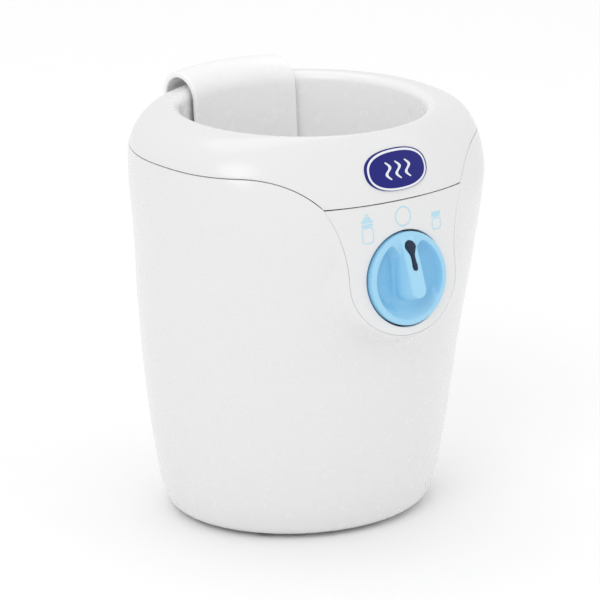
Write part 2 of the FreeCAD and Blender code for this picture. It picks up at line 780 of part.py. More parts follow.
def make_seal_and_clamp():
    """The soft ring above the plate's flange and the steel ring that clamps both from below."""
    seal_low = f"{PLATE_UNDER}+plate_flange_thickness"
    turned("plate_seal", [
        ("floor_hole_radius", seal_low), ("plate_flange_radius", seal_low),
        ("plate_flange_radius", f"{seal_low}+seal_thickness"),
        ("floor_hole_radius", f"{seal_low}+seal_thickness")])
    ring_low = f"{PLATE_UNDER}-clamp_ring_thickness"
    body = new_body("clamp_ring")
    outline = sketch_on(body, raised=ring_low)
    ring(outline, 0, 0, "clamp_ring_radius")
    ring(outline, 0, 0, "floor_hole_radius")
    pad(body, outline, "clamp_ring_thickness")
    for x, y in clamp_spots():
        hole = ring(sketch_on(body, raised=PLATE_UNDER), x, y, "screw_radius")
        pocket(body, hole, "2*clamp_ring_thickness")
    screw_group("clamp_screws", [(x, y, ring_low) for x, y in clamp_spots()],
                "clamp_ring_thickness+plate_flange_thickness+seal_thickness", down=False)


def make_element():
    """The sheathed heating element: most of a ring, with both ends turned down to its pins."""
    radius = "element_radius-element_gap"
    height = f"{PLATE_UNDER}-element_radius"
    coil = DOC.addObject("Part::Torus", "element_coil")
    bind(coil, Radius1="element_ring_radius", Radius2=radius)
    coil.Angle3 = ELEMENT_SWEEP
    place(coil, 0, 0, height, Rotation(Vector(0, 0, 1), 90 + (360 - ELEMENT_SWEEP) / 2))
    pieces = [coil]
    pins = []
    for index, (x, y) in enumerate(pin_spots()):
        pieces.append(cylinder(f"element_leg_{index}", radius, "1.3*element_radius", x=x, y=y,
                               z=f"{height}-1.3*element_radius"))
        pins.append(cylinder(f"element_pin_{index}", "lead_radius", "2.6", x=x, y=y,
                             z=f"{height}-1.3*element_radius-2.6"))
    keep(fuse("element_fused", *pieces), "heating_element")
    group = DOC.addObject("Part::Compound", "element_pins")
    group.Links = pins
    keep(group, "element_pins")


ELEMENT_SWEEP = 320


def pin_spots():
    """The two ends of the element's ring, at the back."""
    half_gap = (360 - ELEMENT_SWEEP) / 2
    return [(f"element_ring_radius*cos({angle})", f"element_ring_radius*sin({angle})")
            for angle in (90 + half_gap, 90 - half_gap)]


def clip_profile(sketch):
    """A hat section that holds a round piece against the plate."""
    inner = "probe_radius+0.3"
    outer = "probe_radius+0.3+clip_thickness"
    lip = "2*probe_radius+1.4"
    low = f"-{CLIP_DEPTH}"
    return draw(sketch, [
        (f"-({lip})", 0), (f"-({lip})", "-clip_thickness"), (f"-({outer})", "-clip_thickness"),
        (f"-({outer})", low), (outer, low), (outer, "-clip_thickness"), (lip, "-clip_thickness"),
        (lip, 0), (inner, 0), (inner, f"{low}+clip_thickness"), (f"-({inner})", f"{low}+clip_thickness"),
        (f"-({inner})", 0)])


def make_probe_and_fuse():
    """The thermostat's sensing bulb and the thermal fuse, each clipped under the plate."""
    probe = new_body("sensor_bulb", x="probe_offset", z=PROBE_HEIGHT)
    pad(probe, ring(sketch_on(probe, "XZ_Plane"), 0, 0, "probe_radius"), "probe_length", both=True)
    clip = new_body("bulb_clip", x="probe_offset", z=PLATE_UNDER)
    pad(clip, clip_profile(sketch_on(clip, "XZ_Plane")), "clip_width", both=True)
    thermal_fuse = new_body("thermal_fuse", z=PROBE_HEIGHT)
    for radius, length in (("probe_radius", "fuse_length"), ("fuse_pin_radius", "fuse_length+5")):
        pad(thermal_fuse, ring(sketch_on(thermal_fuse, "YZ_Plane"), 0, 0, radius), length, both=True)
    clip = new_body("fuse_clip", z=PLATE_UNDER)
    pad(clip, clip_profile(sketch_on(clip, "YZ_Plane")), "clip_width", both=True)


# ---------------------------------------------------------------- base

SADDLE_TOP = "(inlet_height+inlet_bore)"
SADDLE_Y = "(terminal_block_y+terminal_block_depth/2+5)"
VENT_COUNT = 7
VENT_PITCH = 6


def post_spots():
    """The three posts that hold the heat shield."""
    return [(f"shield_post_circle*cos({angle})", f"base_centre+shield_post_circle*sin({angle})")
            for angle in (30, 150, 270)]


def foot_spots():
    names = ("front_left_foot", "rear_left_foot", "front_right_foot", "rear_right_foot")
    return list(zip(names, four_ways("foot_x", "foot_y", "base_centre")))


def make_base_plate():
    """The bottom cover with vents, foot recesses, shield posts and the saddle of the cord clamp."""
    slab = box("base_slab", "-collar_half_width", "-collar_half_width", BASE_LOW,
               "collar_half_width", "collar_half_width", BASE_TOP)
    additions = [common("base_blank", slab, hull("base_limit", "wall+fit_clearance"))]
    saddle_half = "clamp_bar_width/2"
    additions.append(box("saddle_block", f"-{saddle_half}", SADDLE_Y, BASE_TOP, saddle_half,
                         f"{SADDLE_Y}+clamp_bar_depth*0.7", SADDLE_TOP))
    cuts = [box("saddle_channel", "-inlet_bore-1", f"{SADDLE_Y}-1", f"{SADDLE_TOP}-2*inlet_bore",
                "inlet_bore+1", f"{SADDLE_Y}+clamp_bar_depth", f"{SADDLE_TOP}+1")]
    for index, x in enumerate(saddle_spots()):
        cuts.append(cylinder(f"saddle_pilot_{index}", "screw_radius", "8", x=x, y=saddle_middle(),
                             z=f"{SADDLE_TOP}-7"))
    for index, (x, y) in enumerate(post_spots()):
        additions.append(cylinder(f"shield_post_{index}", "shield_post_radius", f"shield_height-{BASE_TOP}",
                                  x=x, y=y, z=BASE_TOP))
        cuts.append(cylinder(f"shield_pilot_{index}", "screw_radius", "7", x=x, y=y, z="shield_height-6"))
    for index, (x, y) in enumerate(base_boss_spots()):
        cuts.append(cylinder(f"base_hole_{index}", "screw_radius+0.2", "base_thickness+2", x=x, y=y,
                             z=f"{BASE_LOW}-1"))
        cuts.append(cylinder(f"base_counterbore_{index}", "screw_head_radius+0.4", "base_thickness/2+1",
                             x=x, y=y, z=f"{BASE_LOW}-1"))
    for index, (name, (x, y)) in enumerate(foot_spots()):
        cuts.append(cylinder(f"foot_seat_{index}", "foot_radius", "foot_recess+1", x=x, y=y,
                             z=f"{BASE_LOW}-1"))
    for index in range(VENT_COUNT):
        x = (index - (VENT_COUNT - 1) / 2) * VENT_PITCH
        cuts.append(box(f"vent_{index}", f"{x}-vent_half_width", "base_centre-vent_reach", f"{BASE_LOW}-1",
                        f"{x}+vent_half_width", "base_centre+vent_reach", f"{BASE_TOP}+1"))
    solid = cut("base_opened", fuse("base_fused", *additions), fuse("base_cuts", *cuts))
    keep(solid, "base_plate")
    screw_group("base_screws", [(x, y, f"{BASE_LOW}+base_thickness/2") for x, y in base_boss_spots()],
                "base_boss_height*0.7", down=False)
    for name, (x, y) in foot_spots():
        body = new_body(name, x=x, y=y)
        revolve(body, draw(sketch_on(body, "XZ_Plane"), [
            (0, 0), ("foot_radius-foot_edge", 0), ("foot_radius", "foot_edge"),
            ("foot_radius", f"{BASE_LOW}+foot_recess"), (0, f"{BASE_LOW}+foot_recess")]))


def saddle_spots():
    return ["-clamp_bar_width/2+3.6", "clamp_bar_width/2-3.6"]


def saddle_middle():
    return f"{SADDLE_Y}+clamp_bar_depth*0.35"


def make_cord_clamp():
    """The bar that would hold the cord on its saddle, and its two screws."""
    body = new_body("cord_clamp", y=saddle_middle(), z=SADDLE_TOP)
    pad(body, rectangle(sketch_on(body), "-clamp_bar_width/2", "-clamp_bar_depth*0.35", "clamp_bar_width/2",
                        "clamp_bar_depth*0.35"), "clamp_bar_thickness")
    for x in saddle_spots():
        pocket(body, ring(sketch_on(body, raised="clamp_bar_thickness"), x, 0, "screw_radius"),
               "2*clamp_bar_thickness")
    screw_group("cord_clamp_screws", [(x, saddle_middle(), f"{SADDLE_TOP}+clamp_bar_thickness")
                                      for x in saddle_spots()], "clamp_bar_thickness+6")


def inlet_wall_y():
    """Where the cord's centre line meets the housing's outer face."""
    return ("(base_centre+base_half_depth+(collar_half_depth-base_half_depth)"
            "*sqrt((inlet_height-base_clearance)/(widest_height-base_clearance)))")


def make_cord_grommet():
    """The rubber ring that lines the cord hole at the back."""
    neck = "inlet_bore+inlet_wall"
    flange = f"{neck}+inlet_flange"
    far = "1.3+inlet_flange_thickness"
    near = "-wall-1.9-inlet_flange_thickness"
    body = new_body("cord_grommet", y=inlet_wall_y(), z="inlet_height", turn=Rotation(Vector(-1, 0, 0), 90))
    revolve(body, draw(sketch_on(body, "XZ_Plane"), [
        ("inlet_bore", near), (flange, near), (flange, f"{near}+inlet_flange_thickness"),
        (neck, f"{near}+inlet_flange_thickness"), (neck, "1.3"), (flange, "1.3"), (flange, f"{far}-0.6"),
        (f"{flange}-0.6", far), ("inlet_bore", far)]))


def make_terminal_block():
    """The terminal block on the base, with wire holes right through and a screw over each."""
    body = new_body("terminal_block", y="terminal_block_y", z=BASE_TOP)
    half = "terminal_block_width/2"
    pad(body, rectangle(sketch_on(body), f"-{half}", "-terminal_block_depth/2", half,
                        "terminal_block_depth/2"),
        "terminal_block_height")
    for x in TERMINAL_COLUMNS:
        hole = ring(sketch_on(body, "XZ_Plane", raised="-terminal_block_depth"), x, WIRE_RISE,
                    "lead_radius+fit_clearance")
        pocket(body, hole, "2*terminal_block_depth", up=True)
        pocket(body, ring(sketch_on(body, raised="terminal_block_height"), x, 0, "screw_head_radius"), "2.5")
        pocket(body, ring(sketch_on(body, raised="terminal_block_height"), x, 0, "screw_radius"), "5")
    screw_group("terminal_screws", [(x, "terminal_block_y", f"{BASE_TOP}+terminal_block_height-2.5")
                                    for x in TERMINAL_COLUMNS], "2.5")


TERMINAL_COLUMNS = (-11, 0, 11)
WIRE_RISE = 5


def make_heat_shield():
    """The thin disc between heater and wiring, notched at the back for the leads."""
    body = new_body("heat_shield", y="base_centre", z="shield_height")
    pad(body, ring(sketch_on(body), 0, 0, "shield_radius"), "shield_thickness")
    notch = rectangle(sketch_on(body, raised="shield_thickness"), "-terminal_block_width/2",
                      "shield_radius*0.6", "terminal_block_width/2", "2*shield_radius")
    pocket(body, notch, "2*shield_thickness")
    for x, y in post_spots():
        hole = ring(sketch_on(body, raised="shield_thickness"), x, f"{y}-base_centre", "screw_radius")
        pocket(body, hole, "2*shield_thickness")
    screw_group("shield_screws", [(x, y, "shield_height+shield_thickness") for x, y in post_spots()],
                "shield_thickness+5")


# ---------------------------------------------------------------- wiring

def tube(label, radius, points):
    """A lead or capillary of straight runs joined by tangent arcs, through points given as rules."""
    spots = [Vector(*(size(value) for value in point)) for point in points]
    edges = []
    start = spots[0]
    for before, corner, after in zip(spots, spots[1:], spots[2:]):
        back, ahead = (before - corner), (after - corner)
        run = min(back.Length, ahead.Length)
        setback = 0.45 * run
        back.normalize()
        ahead.normalize()
        first, last = corner + back * setback, corner + ahead * setback
        middle_way = (back + ahead).normalize()
        half_turn = (math.pi - back.getAngle(ahead)) / 2
        bend = setback / math.tan(half_turn)
        print(f"{label}: bend radius {bend:.1f} mm")
        crown = corner + middle_way * (bend / math.cos(half_turn) - bend)
        edges.append(Part.LineSegment(start, first).toShape())
        edges.append(Part.Arc(first, crown, last).toShape())
        start = last
    edges.append(Part.LineSegment(start, spots[-1]).toShape())
    path = Part.Wire(edges)
    profile = Part.Wire([Part.makeCircle(radius, spots[0], spots[1] - spots[0])])
    feature = DOC.addObject("Part::Feature", label)
    feature.Shape = path.makePipeShell([profile], True, False)
    expected = math.pi * radius ** 2 * path.Length
    assert abs(feature.Shape.Volume / expected - 1) < 0.02, f"{label}: volume {feature.Shape.Volume}"
    return keep(feature, label)


def make_wiring():
    """Leads from the terminal block through thermostat, element and fuse, and the bulb's capillary."""
    wire_height = f"{BASE_TOP}+{WIRE_RISE}"
    block_front = "terminal_block_y-terminal_block_depth/2"
    block_back = "terminal_block_y+terminal_block_depth/2"
    left_pin, right_pin = pin_spots()
    under_plate = "shield_height+3"
    pin_front = "-lead_radius*2-0.1"
    fuse_x = "fuse_length/2+1.3"
    fuse_under = f"{PROBE_HEIGHT}-0.7"
    tube("supply_lead", size("lead_radius"), [
        (TERMINAL_COLUMNS[0], f"{block_front}+3", wire_height), (TERMINAL_COLUMNS[0], 8, "wire_low+1"),
        (-10.5, -24, "wire_low+2.5"), (-10, -39.6, 26), (-10, -41.3, 40), (-9.2, -43, 57),
        (-8, -44.7, 74), (-5.7, -46.4, 84), (-5.5, -50.1, 84.3)])
    tube("switched_lead", size("lead_radius"), [
        (4.5, -50.1, 84.3), (4.8, -46.4, 84), (5.4, -44.7, 74), (6, -43, 57), (6.2, -41.2, 40),
        (6.2, -37.5, under_plate), (7, -12, under_plate), (right_pin[0], 12, under_plate),
        (right_pin[0], f"{right_pin[1]}{pin_front}", under_plate)])
    tube("fuse_lead", size("lead_radius"), [
        (left_pin[0], f"{left_pin[1]}{pin_front}", under_plate), (left_pin[0], 10, under_plate),
        (f"-({fuse_x})", 0, "shield_height+4"), (f"-({fuse_x})", 0, fuse_under)])
    tube("neutral_lead", size("lead_radius"), [
        (0, f"{block_back}-3", wire_height), (0, f"{block_back}+2.5", wire_height),
        (0, f"{block_back}+3", "shield_height-6"), (0.6, f"{block_back}+1", "shield_height+3"),
        (1.6, 20, "shield_height+4"), (3.5, 7, "shield_height+4.7"), (fuse_x, 0.2, "shield_height+5.2"),
        (fuse_x, 0, fuse_under)])
    tube("capillary_tube", size("capillary_radius"), [
        ("probe_offset", "-probe_length/2", PROBE_HEIGHT),
        ("probe_offset", "-probe_length/2-2.6", PROBE_HEIGHT),
        (13.3, -13.6, "shield_height+4.4"), (12.8, -24, "shield_height+3.6"),
        (12.3, -37, "shield_height+4.4"),
        (12, -41.6, 40), (11.6, -43.4, 58), (10.4, -45.6, 78), (9.2, -48.4, 84), (9, -50.3, 87.4)])


# ---------------------------------------------------------------- lifter

def make_lifter_strap():
    """The hanger: a leaf down the chamber's back wall, an arch over the rim and a short outer leg."""
    top_outer = "crest_radius-rim_round-strap_wall_gap"
    arch = f"((strap_leg_radius-({top_outer}))/2)"
    spring = f"(crest_height+strap_hook_gap-{arch})"
    middle = f"(strap_leg_radius-{arch})"
    toe_low = "tray_height-tray_thickness"
    leaf_low = f"{chamber_radius(toe_low)}-strap_wall_gap"
    leaf_tray = f"{chamber_radius('tray_height')}-strap_wall_gap-strap_thickness"
    profile = turned("strap_profile", [
        (f"{leaf_tray}-strap_toe", toe_low), (leaf_low, toe_low), (top_outer, spring),
        (middle, f"{spring}+{arch}", arch, -1), ("strap_leg_radius", spring, arch, -1),
        ("strap_leg_radius", "strap_leg_end"), ("strap_leg_radius+strap_thickness", "strap_leg_end"),
        ("strap_leg_radius+strap_thickness", spring),
        (middle, f"{spring}+{arch}+strap_thickness", f"{arch}+strap_thickness", 1),
        (f"{top_outer}-strap_thickness", spring, f"{arch}+strap_thickness", 1),
        (leaf_tray, "tray_height"), (f"{leaf_tray}-strap_toe", "tray_height")], kept=False)
    sector = box("strap_sector", "-strap_half_width", 0, 0, "strap_half_width", "2*strap_leg_radius",
                 "2*crest_height")
    return keep(common("strap_solid", profile, sector), "lifter_strap")


SLOT_COUNT = 8


def make_lifter_tray():
    """The round perforated tray that the bottle stands on, notched at the back for the hanger."""
    body = new_body("lifter_tray", z="tray_height")
    pad(body, ring(sketch_on(body), 0, 0, "tray_radius"), "tray_thickness")
    inner = f"{chamber_radius('tray_height')}-strap_wall_gap-strap_thickness-0.4"
    half = "strap_half_width+0.6"
    start = f"sqrt(({inner})^2-({half})^2)"
    pocket(body, draw(sketch_on(body, raised="tray_thickness"), [
        (f"-({half})", "2*tray_radius"), (f"-({half})", start), (0, inner, inner, -1),
        (half, start, inner, -1), (half, "2*tray_radius")]), "2*tray_thickness")
    hub = ring(sketch_on(body, raised="tray_thickness"), 0, 0, "3*tray_slot_radius")
    pocket(body, hub, "2*tray_thickness")
    slot = draw(sketch_on(body, raised="tray_thickness"), slot_steps())
    polar(body, pocket(body, slot, "2*tray_thickness"), SLOT_COUNT)
    for angle in (-90, 0, 180):
        foot = sketch_on(body)
        ring(foot, f"(tray_radius-2.5)*cos({angle})", f"(tray_radius-2.5)*sin({angle})", "tray_foot_radius")
        pad(body, foot, "tray_height-chamber_floor-tray_foot_gap", down=True)
    return body


def slot_steps():
    """A radial slot with round ends."""
    near, far, radius = "tray_radius*0.34", "tray_radius*0.64", "tray_slot_radius"
    return [
        (near, f"-{radius}", radius, 1), (far, f"-{radius}"), (f"{far}+{radius}", 0, radius, 1),
        (far, radius, radius, 1), (near, radius), (f"{near}-{radius}", 0, radius, 1)]


# ---------------------------------------------------------------- build and write

def main():
    make_collar()
    make_chamber_cup()
    make_outer_shell()
    make_panel()
    make_badge()
    make_knob()
    make_knob_lens()
    make_spindle()
    make_thermostat()
    make_pilot_lamp()
    make_heating_plate()
    make_seal_and_clamp()
    make_element()
    make_probe_and_fuse()
    make_base_plate()
    make_cord_clamp()
    make_cord_grommet()
    make_terminal_block()
    make_heat_shield()
    screw_group("collar_screws", [(x, y, "collar_lug_height") for x, y in collar_boss_spots()],
                "collar_lug_thickness+8", down=False)
    make_wiring()
    make_lifter_strap()
    make_lifter_tray()
    DOC.recompute()
    for thing in DOC.Objects:
        assert not {"Invalid", "Error"} & set(thing.State), f"{thing.Label} failed"
    for node in NODES:
        assert not node.Shape.isNull() and node.Shape.isValid(), f"{node.Label} has a bad shape"
    os.makedirs("parts", exist_ok=True)
    for node in NODES:
        node.Shape.translated(Vector(0, size("axis_setback"), 0)).exportStep(f"parts/{node.Label}.step")
        print(f"{node.Label}: {node.Shape.Volume:.0f} mm3, {len(node.Shape.Solids)} solid(s)")


if __name__ == "__main__":
    main()
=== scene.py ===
import json
import math

import bmesh
import bpy
import numpy as np
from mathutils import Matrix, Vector


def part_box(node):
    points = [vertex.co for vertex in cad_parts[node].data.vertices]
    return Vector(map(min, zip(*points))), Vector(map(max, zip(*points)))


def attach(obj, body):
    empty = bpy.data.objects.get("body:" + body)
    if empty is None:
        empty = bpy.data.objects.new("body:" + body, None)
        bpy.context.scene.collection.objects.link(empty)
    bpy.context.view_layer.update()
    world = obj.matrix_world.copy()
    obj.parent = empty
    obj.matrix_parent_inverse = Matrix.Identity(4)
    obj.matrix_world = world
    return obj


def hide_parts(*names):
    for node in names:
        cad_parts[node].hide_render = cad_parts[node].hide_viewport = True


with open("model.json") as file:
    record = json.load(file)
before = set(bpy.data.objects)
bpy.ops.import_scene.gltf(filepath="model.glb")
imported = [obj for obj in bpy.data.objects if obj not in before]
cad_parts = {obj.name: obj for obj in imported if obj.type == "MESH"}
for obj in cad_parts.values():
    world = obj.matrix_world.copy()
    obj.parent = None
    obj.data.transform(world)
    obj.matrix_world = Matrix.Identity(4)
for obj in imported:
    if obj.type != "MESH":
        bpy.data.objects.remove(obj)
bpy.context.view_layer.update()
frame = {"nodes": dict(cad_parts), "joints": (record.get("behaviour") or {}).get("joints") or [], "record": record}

# The visual model of a bottle warmer, built round the CAD frame. The outer pieces are
# replaced by smoother ones made from formulas; every other CAD node shows as it is.
# Lengths are in millimetres until build_mesh turns them into the frame's metres.
MM = 0.001

JOINTS = {joint["name"]: joint for joint in frame["joints"]}
# Shapes are drawn about the chamber's axis; build_mesh sets them in their place in the frame.
CUP_LOW, CUP_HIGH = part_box("chamber_cup")
AXIS = np.array((0, (CUP_LOW.y + CUP_HIGH.y) / 2 / MM, 0))
PIVOT = np.array(JOINTS["knob_turn"]["pos_m"]) / MM - AXIS
OUT = np.array(JOINTS["knob_turn"]["axis"])
RIGHT = np.array((1.0, 0.0, 0.0))
UP = np.cross(OUT, RIGHT)
UP = UP if UP[2] > 0 else -UP

# Casing: half width and half depth at heights above the standing plane
WIDTHS = ((0, 47.6), (8, 50.9), (25, 54.6), (50, 58.2), (80, 61.0), (105, 62.45), (128, 64.4), (133.6, 64.5))
DEPTHS = ((0, 43.3), (8, 46.2), (25, 49.2), (50, 51.8), (80, 53.6), (105, 54.3), (128, 55.4), (133.6, 55.4))
FRONT_SWELL = 4.8
OVAL_CENTRE = 2.5
MIDDLE_Y = 2.0
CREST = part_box("chamber_collar")[1].z / MM
CREST_RADIUS = 47.5
SEAM = 137.5
SEAM_GAP = 0.35
CURVE_X, CURVE_Z, CURVE_RADIUS = 52.5, 109.2, 28.3
# The shoulder starts lower and curves more tightly over the brow than round the sides.
SHOULDER, BROW_DROP = 133.6, 13.6
SHOULDER_POWER, BROW_POWER_DROP = 2.1, 0.75
SKIN = 1.8
EDGE_INSET = 0.12
BASE_Z, BASE_ROUND = 1.5, 3.0

# Warming chamber
RIM_ROUND = 3.5
CHAMBER_FLOOR = 44
CHAMBER_DRAFT = math.tan(math.radians(3.3))
LEDGE_RADIUS = 31
CHAMBER_WALL = 2.2
FLOOR_THICKNESS = 2.4
FLOOR_FILLET = 2.5

# Control panel
PANEL_TOP, PANEL_HALF = 127, 30.5
NECK_Z, NECK_HALF = 102, 23.5
FLANK_RADIUS = 48
PANEL_FOOT = 79.5
PANEL_BOW = 105
PANEL_GAP = 0.22
PANEL_DEPTH = 2.4
WELL_RADIUS, WELL_DEPTH = 17, 6.2

KNOB_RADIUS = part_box("control_knob")[1].x / MM
KNOB_RIM, KNOB_SKIRT = 1.2, -4.0
KNOB_EDGE = 0.9
HOLLOW_RADIUS = 14.5
FAN_CENTRE, FAN_RADIUS = 17.5, 7.6
GRIP_HALF, GRIP_END, GRIP_START = 3.1, -3.4, 14.9
HOLLOW_DEPTH, CREASE_DEPTH, CREASE_REACH = 3.0, 0.8, 1.6

BADGE_LOW, BADGE_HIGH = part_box("badge")
BADGE_X = BADGE_HIGH.x / MM
BADGE_Z = (BADGE_LOW.z + BADGE_HIGH.z) / 2 / MM
BADGE_HALF = (BADGE_HIGH.z - BADGE_LOW.z) / 2 / MM
BADGE_CROWN = 0.62


# ---------------------------------------------------------------- numbers

def smooth(t):
    t = np.clip(t, 0, 1)
    return t * t * (3 - 2 * t)


def along(points, at):
    """Smooth curve through (place, value) points, read at one or many places."""
    x, y = np.array(points, float).T
    slope = np.gradient(y, x)
    at = np.clip(np.asarray(at, float), x[0], x[-1])
    span = np.clip(np.searchsorted(x, at, side="right") - 1, 0, len(x) - 2)
    width = x[span + 1] - x[span]
    t = (at - x[span]) / width
    start = y[span] * (1 + 2 * t) * (1 - t) ** 2 + slope[span] * width * t * (1 - t) ** 2
    end = y[span + 1] * t * t * (3 - 2 * t) + slope[span + 1] * width * t * t * (t - 1)
    return start + end


def soft_max(a, b, blend):
    share = np.clip(0.5 + 0.5 * (a - b) / blend, 0, 1)
    return b + (a - b) * share + blend * share * (1 - share)


def soft_min(a, b, blend):
    return -soft_max(-a, -b, blend)


# ---------------------------------------------------------------- surfaces of the casing

def planform(phi, z):
    """Plain tapered oval at angle phi from the front and height z."""
    half = along(WIDTHS, z)
    back = along(DEPTHS, z)
    front = back + FRONT_SWELL * smooth((z - 60) / 60)
    centre = OVAL_CENTRE - z / 128
    square = 2 + 0.35 * smooth((z - 40) / 80)
    sine, cosine = np.sin(phi), np.cos(phi)
    power = 2 / np.where(cosine > 0, square, 2)
    x = half * np.sign(sine) * np.abs(sine) ** power
    y = centre - np.where(cosine > 0, front * np.abs(cosine) ** power, back * cosine)
    return x, y


def shoulder(phi):
    """Height at which the shoulder starts at angle phi, and the power of its curve."""
    ahead = smooth((np.cos(phi) - 0.2) / 0.7)
    return SHOULDER - BROW_DROP * ahead, SHOULDER_POWER - BROW_POWER_DROP * ahead


def envelope(phi, z):
    """Casing and collar together: the tapered oval, closing over a round shoulder to the rim's crest."""
    foot, power = shoulder(phi)
    t = np.clip((z - foot) / (CREST - foot), 0, 1)
    s = np.clip(1 - t ** power, 0, 1) ** (1 / power)
    x, y = planform(phi, np.minimum(z, foot))
    return (CREST_RADIUS * np.sin(phi) * (1 - s) + x * s,
            -CREST_RADIUS * np.cos(phi) * (1 - s) + y * s)


def front_angle(x, z):
    """The angle on the front half at which the envelope passes a given x."""
    x, z = np.broadcast_arrays(np.asarray(x, float), np.asarray(z, float))
    low, high = np.full(x.shape, -math.pi / 2), np.full(x.shape, math.pi / 2)
    for _ in range(40):
        middle = (low + high) / 2
        short = envelope(middle, z)[0] < x
        low, high = np.where(short, middle, low), np.where(short, high, middle)
    return (low + high) / 2


def brow(x, z):
    return envelope(front_angle(x, z), z)[1]


def panel_y(x, z):
    """The panel's bowed, leaning face."""
    return PIVOT[1] + (z - PIVOT[2]) * UP[1] / UP[2] + np.asarray(x) ** 2 / (2 * PANEL_BOW)


def seam_height(x, ahead, gap=0.0):
    """Lower edge of the collar: level behind, an S-curve down to the panel's top in front."""
    away = np.abs(x)
    radius = CURVE_RADIUS + gap
    curve = CURVE_Z + np.sqrt(np.clip(radius ** 2 - (away - CURVE_X) ** 2, 0, None))
    front = np.where(away > CURVE_X, SEAM + gap, np.where(away > PANEL_HALF, curve, PANEL_TOP + gap / 2))
    return np.where(ahead, front, SEAM + gap)


def flank(z):
    return NECK_HALF + FLANK_RADIUS - np.sqrt(FLANK_RADIUS ** 2 - (z - NECK_Z) ** 2)


def panel_edge(flank_steps, foot_steps):
    """Right half of the panel's outline as (x, z), from its top corner to its foot."""
    side = np.linspace(PANEL_TOP, NECK_Z, flank_steps)
    turn = np.linspace(0, math.pi / 2, foot_steps)
    x = np.concatenate([flank(side), NECK_HALF * np.cos(turn)])
    z = np.concatenate([side, PIVOT[2] - (PIVOT[2] - PANEL_FOOT) * np.sin(turn)])
    return x, z


def chamber_radius(z):
    return CREST_RADIUS - RIM_ROUND - (CREST - RIM_ROUND - z) * CHAMBER_DRAFT


# ---------------------------------------------------------------- meshes

def build_mesh(name, points, faces, sharp=32):
    """One welded closed mesh from points in millimetres about the chamber's axis."""
    mesh = bpy.data.meshes.new(name)
    mesh.from_pydata(((np.asarray(points) + AXIS) * MM).tolist(), [], faces)
    work = bmesh.new()
    work.from_mesh(mesh)
    bmesh.ops.remove_doubles(work, verts=work.verts, dist=2e-6)
    bmesh.ops.dissolve_degenerate(work, edges=work.edges, dist=1e-7)
    loose = [vertex for vertex in work.verts if not vertex.link_faces]
    bmesh.ops.delete(work, geom=loose, context="VERTS")
    bmesh.ops.recalc_face_normals(work, faces=work.faces)
    work.to_mesh(mesh)
    work.free()
    mesh.polygons.foreach_set("use_smooth", [True] * len(mesh.polygons))
    mesh.set_sharp_from_angle(angle=math.radians(sharp))
    thing = bpy.data.objects.new(name, mesh)
    bpy.context.scene.collection.objects.link(thing)
    return thing


def sheet_faces(rows, columns, wrap_rows=False, wrap_columns=False, start=0):
    faces = []
    for row in range(rows if wrap_rows else rows - 1):
        below = (row + 1) % rows
        for column in range(columns if wrap_columns else columns - 1):
            beside = (column + 1) % columns
            faces.append((start + row * columns + column, start + row * columns + beside,
                          start + below * columns + beside, start + below * columns + column))
    return faces


def loop_mesh(name, rows, sharp=32):
    """A mesh from closed section rows, each running round the object."""
    grid = np.stack(rows)
    faces = sheet_faces(grid.shape[0], grid.shape[1], wrap_rows=True, wrap_columns=True)
    return build_mesh(name, grid.reshape(-1, 3), faces, sharp)


def stack(x, y, z):
    return np.stack(np.broadcast_arrays(x, y, z), axis=-1).astype(float)


def inward(points, distance):
    """Move points towards the casing's upright axis."""
    moved = points.copy()
    reach = np.hypot(points[..., 0], points[..., 1] - MIDDLE_Y)
    share = 1 - distance / np.maximum(reach, 1)
    moved[..., 0] = points[..., 0] * share
    moved[..., 1] = MIDDLE_Y + (points[..., 1] - MIDDLE_Y) * share
    return moved


def on_knob(u, v, w):
    """Points from the knob's own right, up and outward lengths."""
    u, v, w = np.broadcast_arrays(u, v, w)
    return PIVOT + u[..., None] * RIGHT + v[..., None] * UP + w[..., None] * OUT


# ---------------------------------------------------------------- outer shell

def shell_rows():
    """Heights of the shell's rows and the half width of its front opening at each."""
    turn = np.linspace(0, math.asin((CURVE_X - PANEL_HALF) / CURVE_RADIUS), 28)
    edge_x, edge_z = panel_edge(32, 44)
    fine, coarse, change = 0.4, 1.9, 70
    low = np.concatenate([np.arange(PANEL_FOOT - fine, change, -fine),
                          np.arange(change, BASE_Z + BASE_ROUND + 1, -coarse)])
    rounding = np.linspace(0, math.pi / 2, 7)
    opening = np.concatenate([CURVE_X - CURVE_RADIUS * np.sin(turn)[:-1], edge_x,
                              np.zeros(len(low) + len(rounding))])
    height = np.concatenate([CURVE_Z + CURVE_RADIUS * np.cos(turn)[:-1], edge_z, low,
                             BASE_Z + BASE_ROUND * (1 - np.sin(rounding))])
    inset = np.concatenate([np.zeros(len(height) - len(rounding)), BASE_ROUND * (1 - np.cos(rounding))])
    return opening, height, inset


def pod_push(x, z):
    """How far the shell comes forward at (x, z) to meet the panel's edge, more gently towards the foot."""
    edge_x, edge_z = panel_edge(500, 800)
    lift = panel_y(edge_x, edge_z) - brow(edge_x, edge_z)
    reach = 1.2 + 2.8 * smooth((112 - edge_z) / 24)
    push = np.zeros(x.shape)
    for row in range(x.shape[0]):
        if z[row, 0] < 50:
            continue
        away = np.hypot(x[row][:, None] - edge_x, z[row][:, None] - edge_z)
        near = away.argmin(axis=1)
        distance = away[np.arange(len(near)), near]
        push[row] = lift[near] * np.exp(-(distance / reach[near]) ** 1.5)
    return push


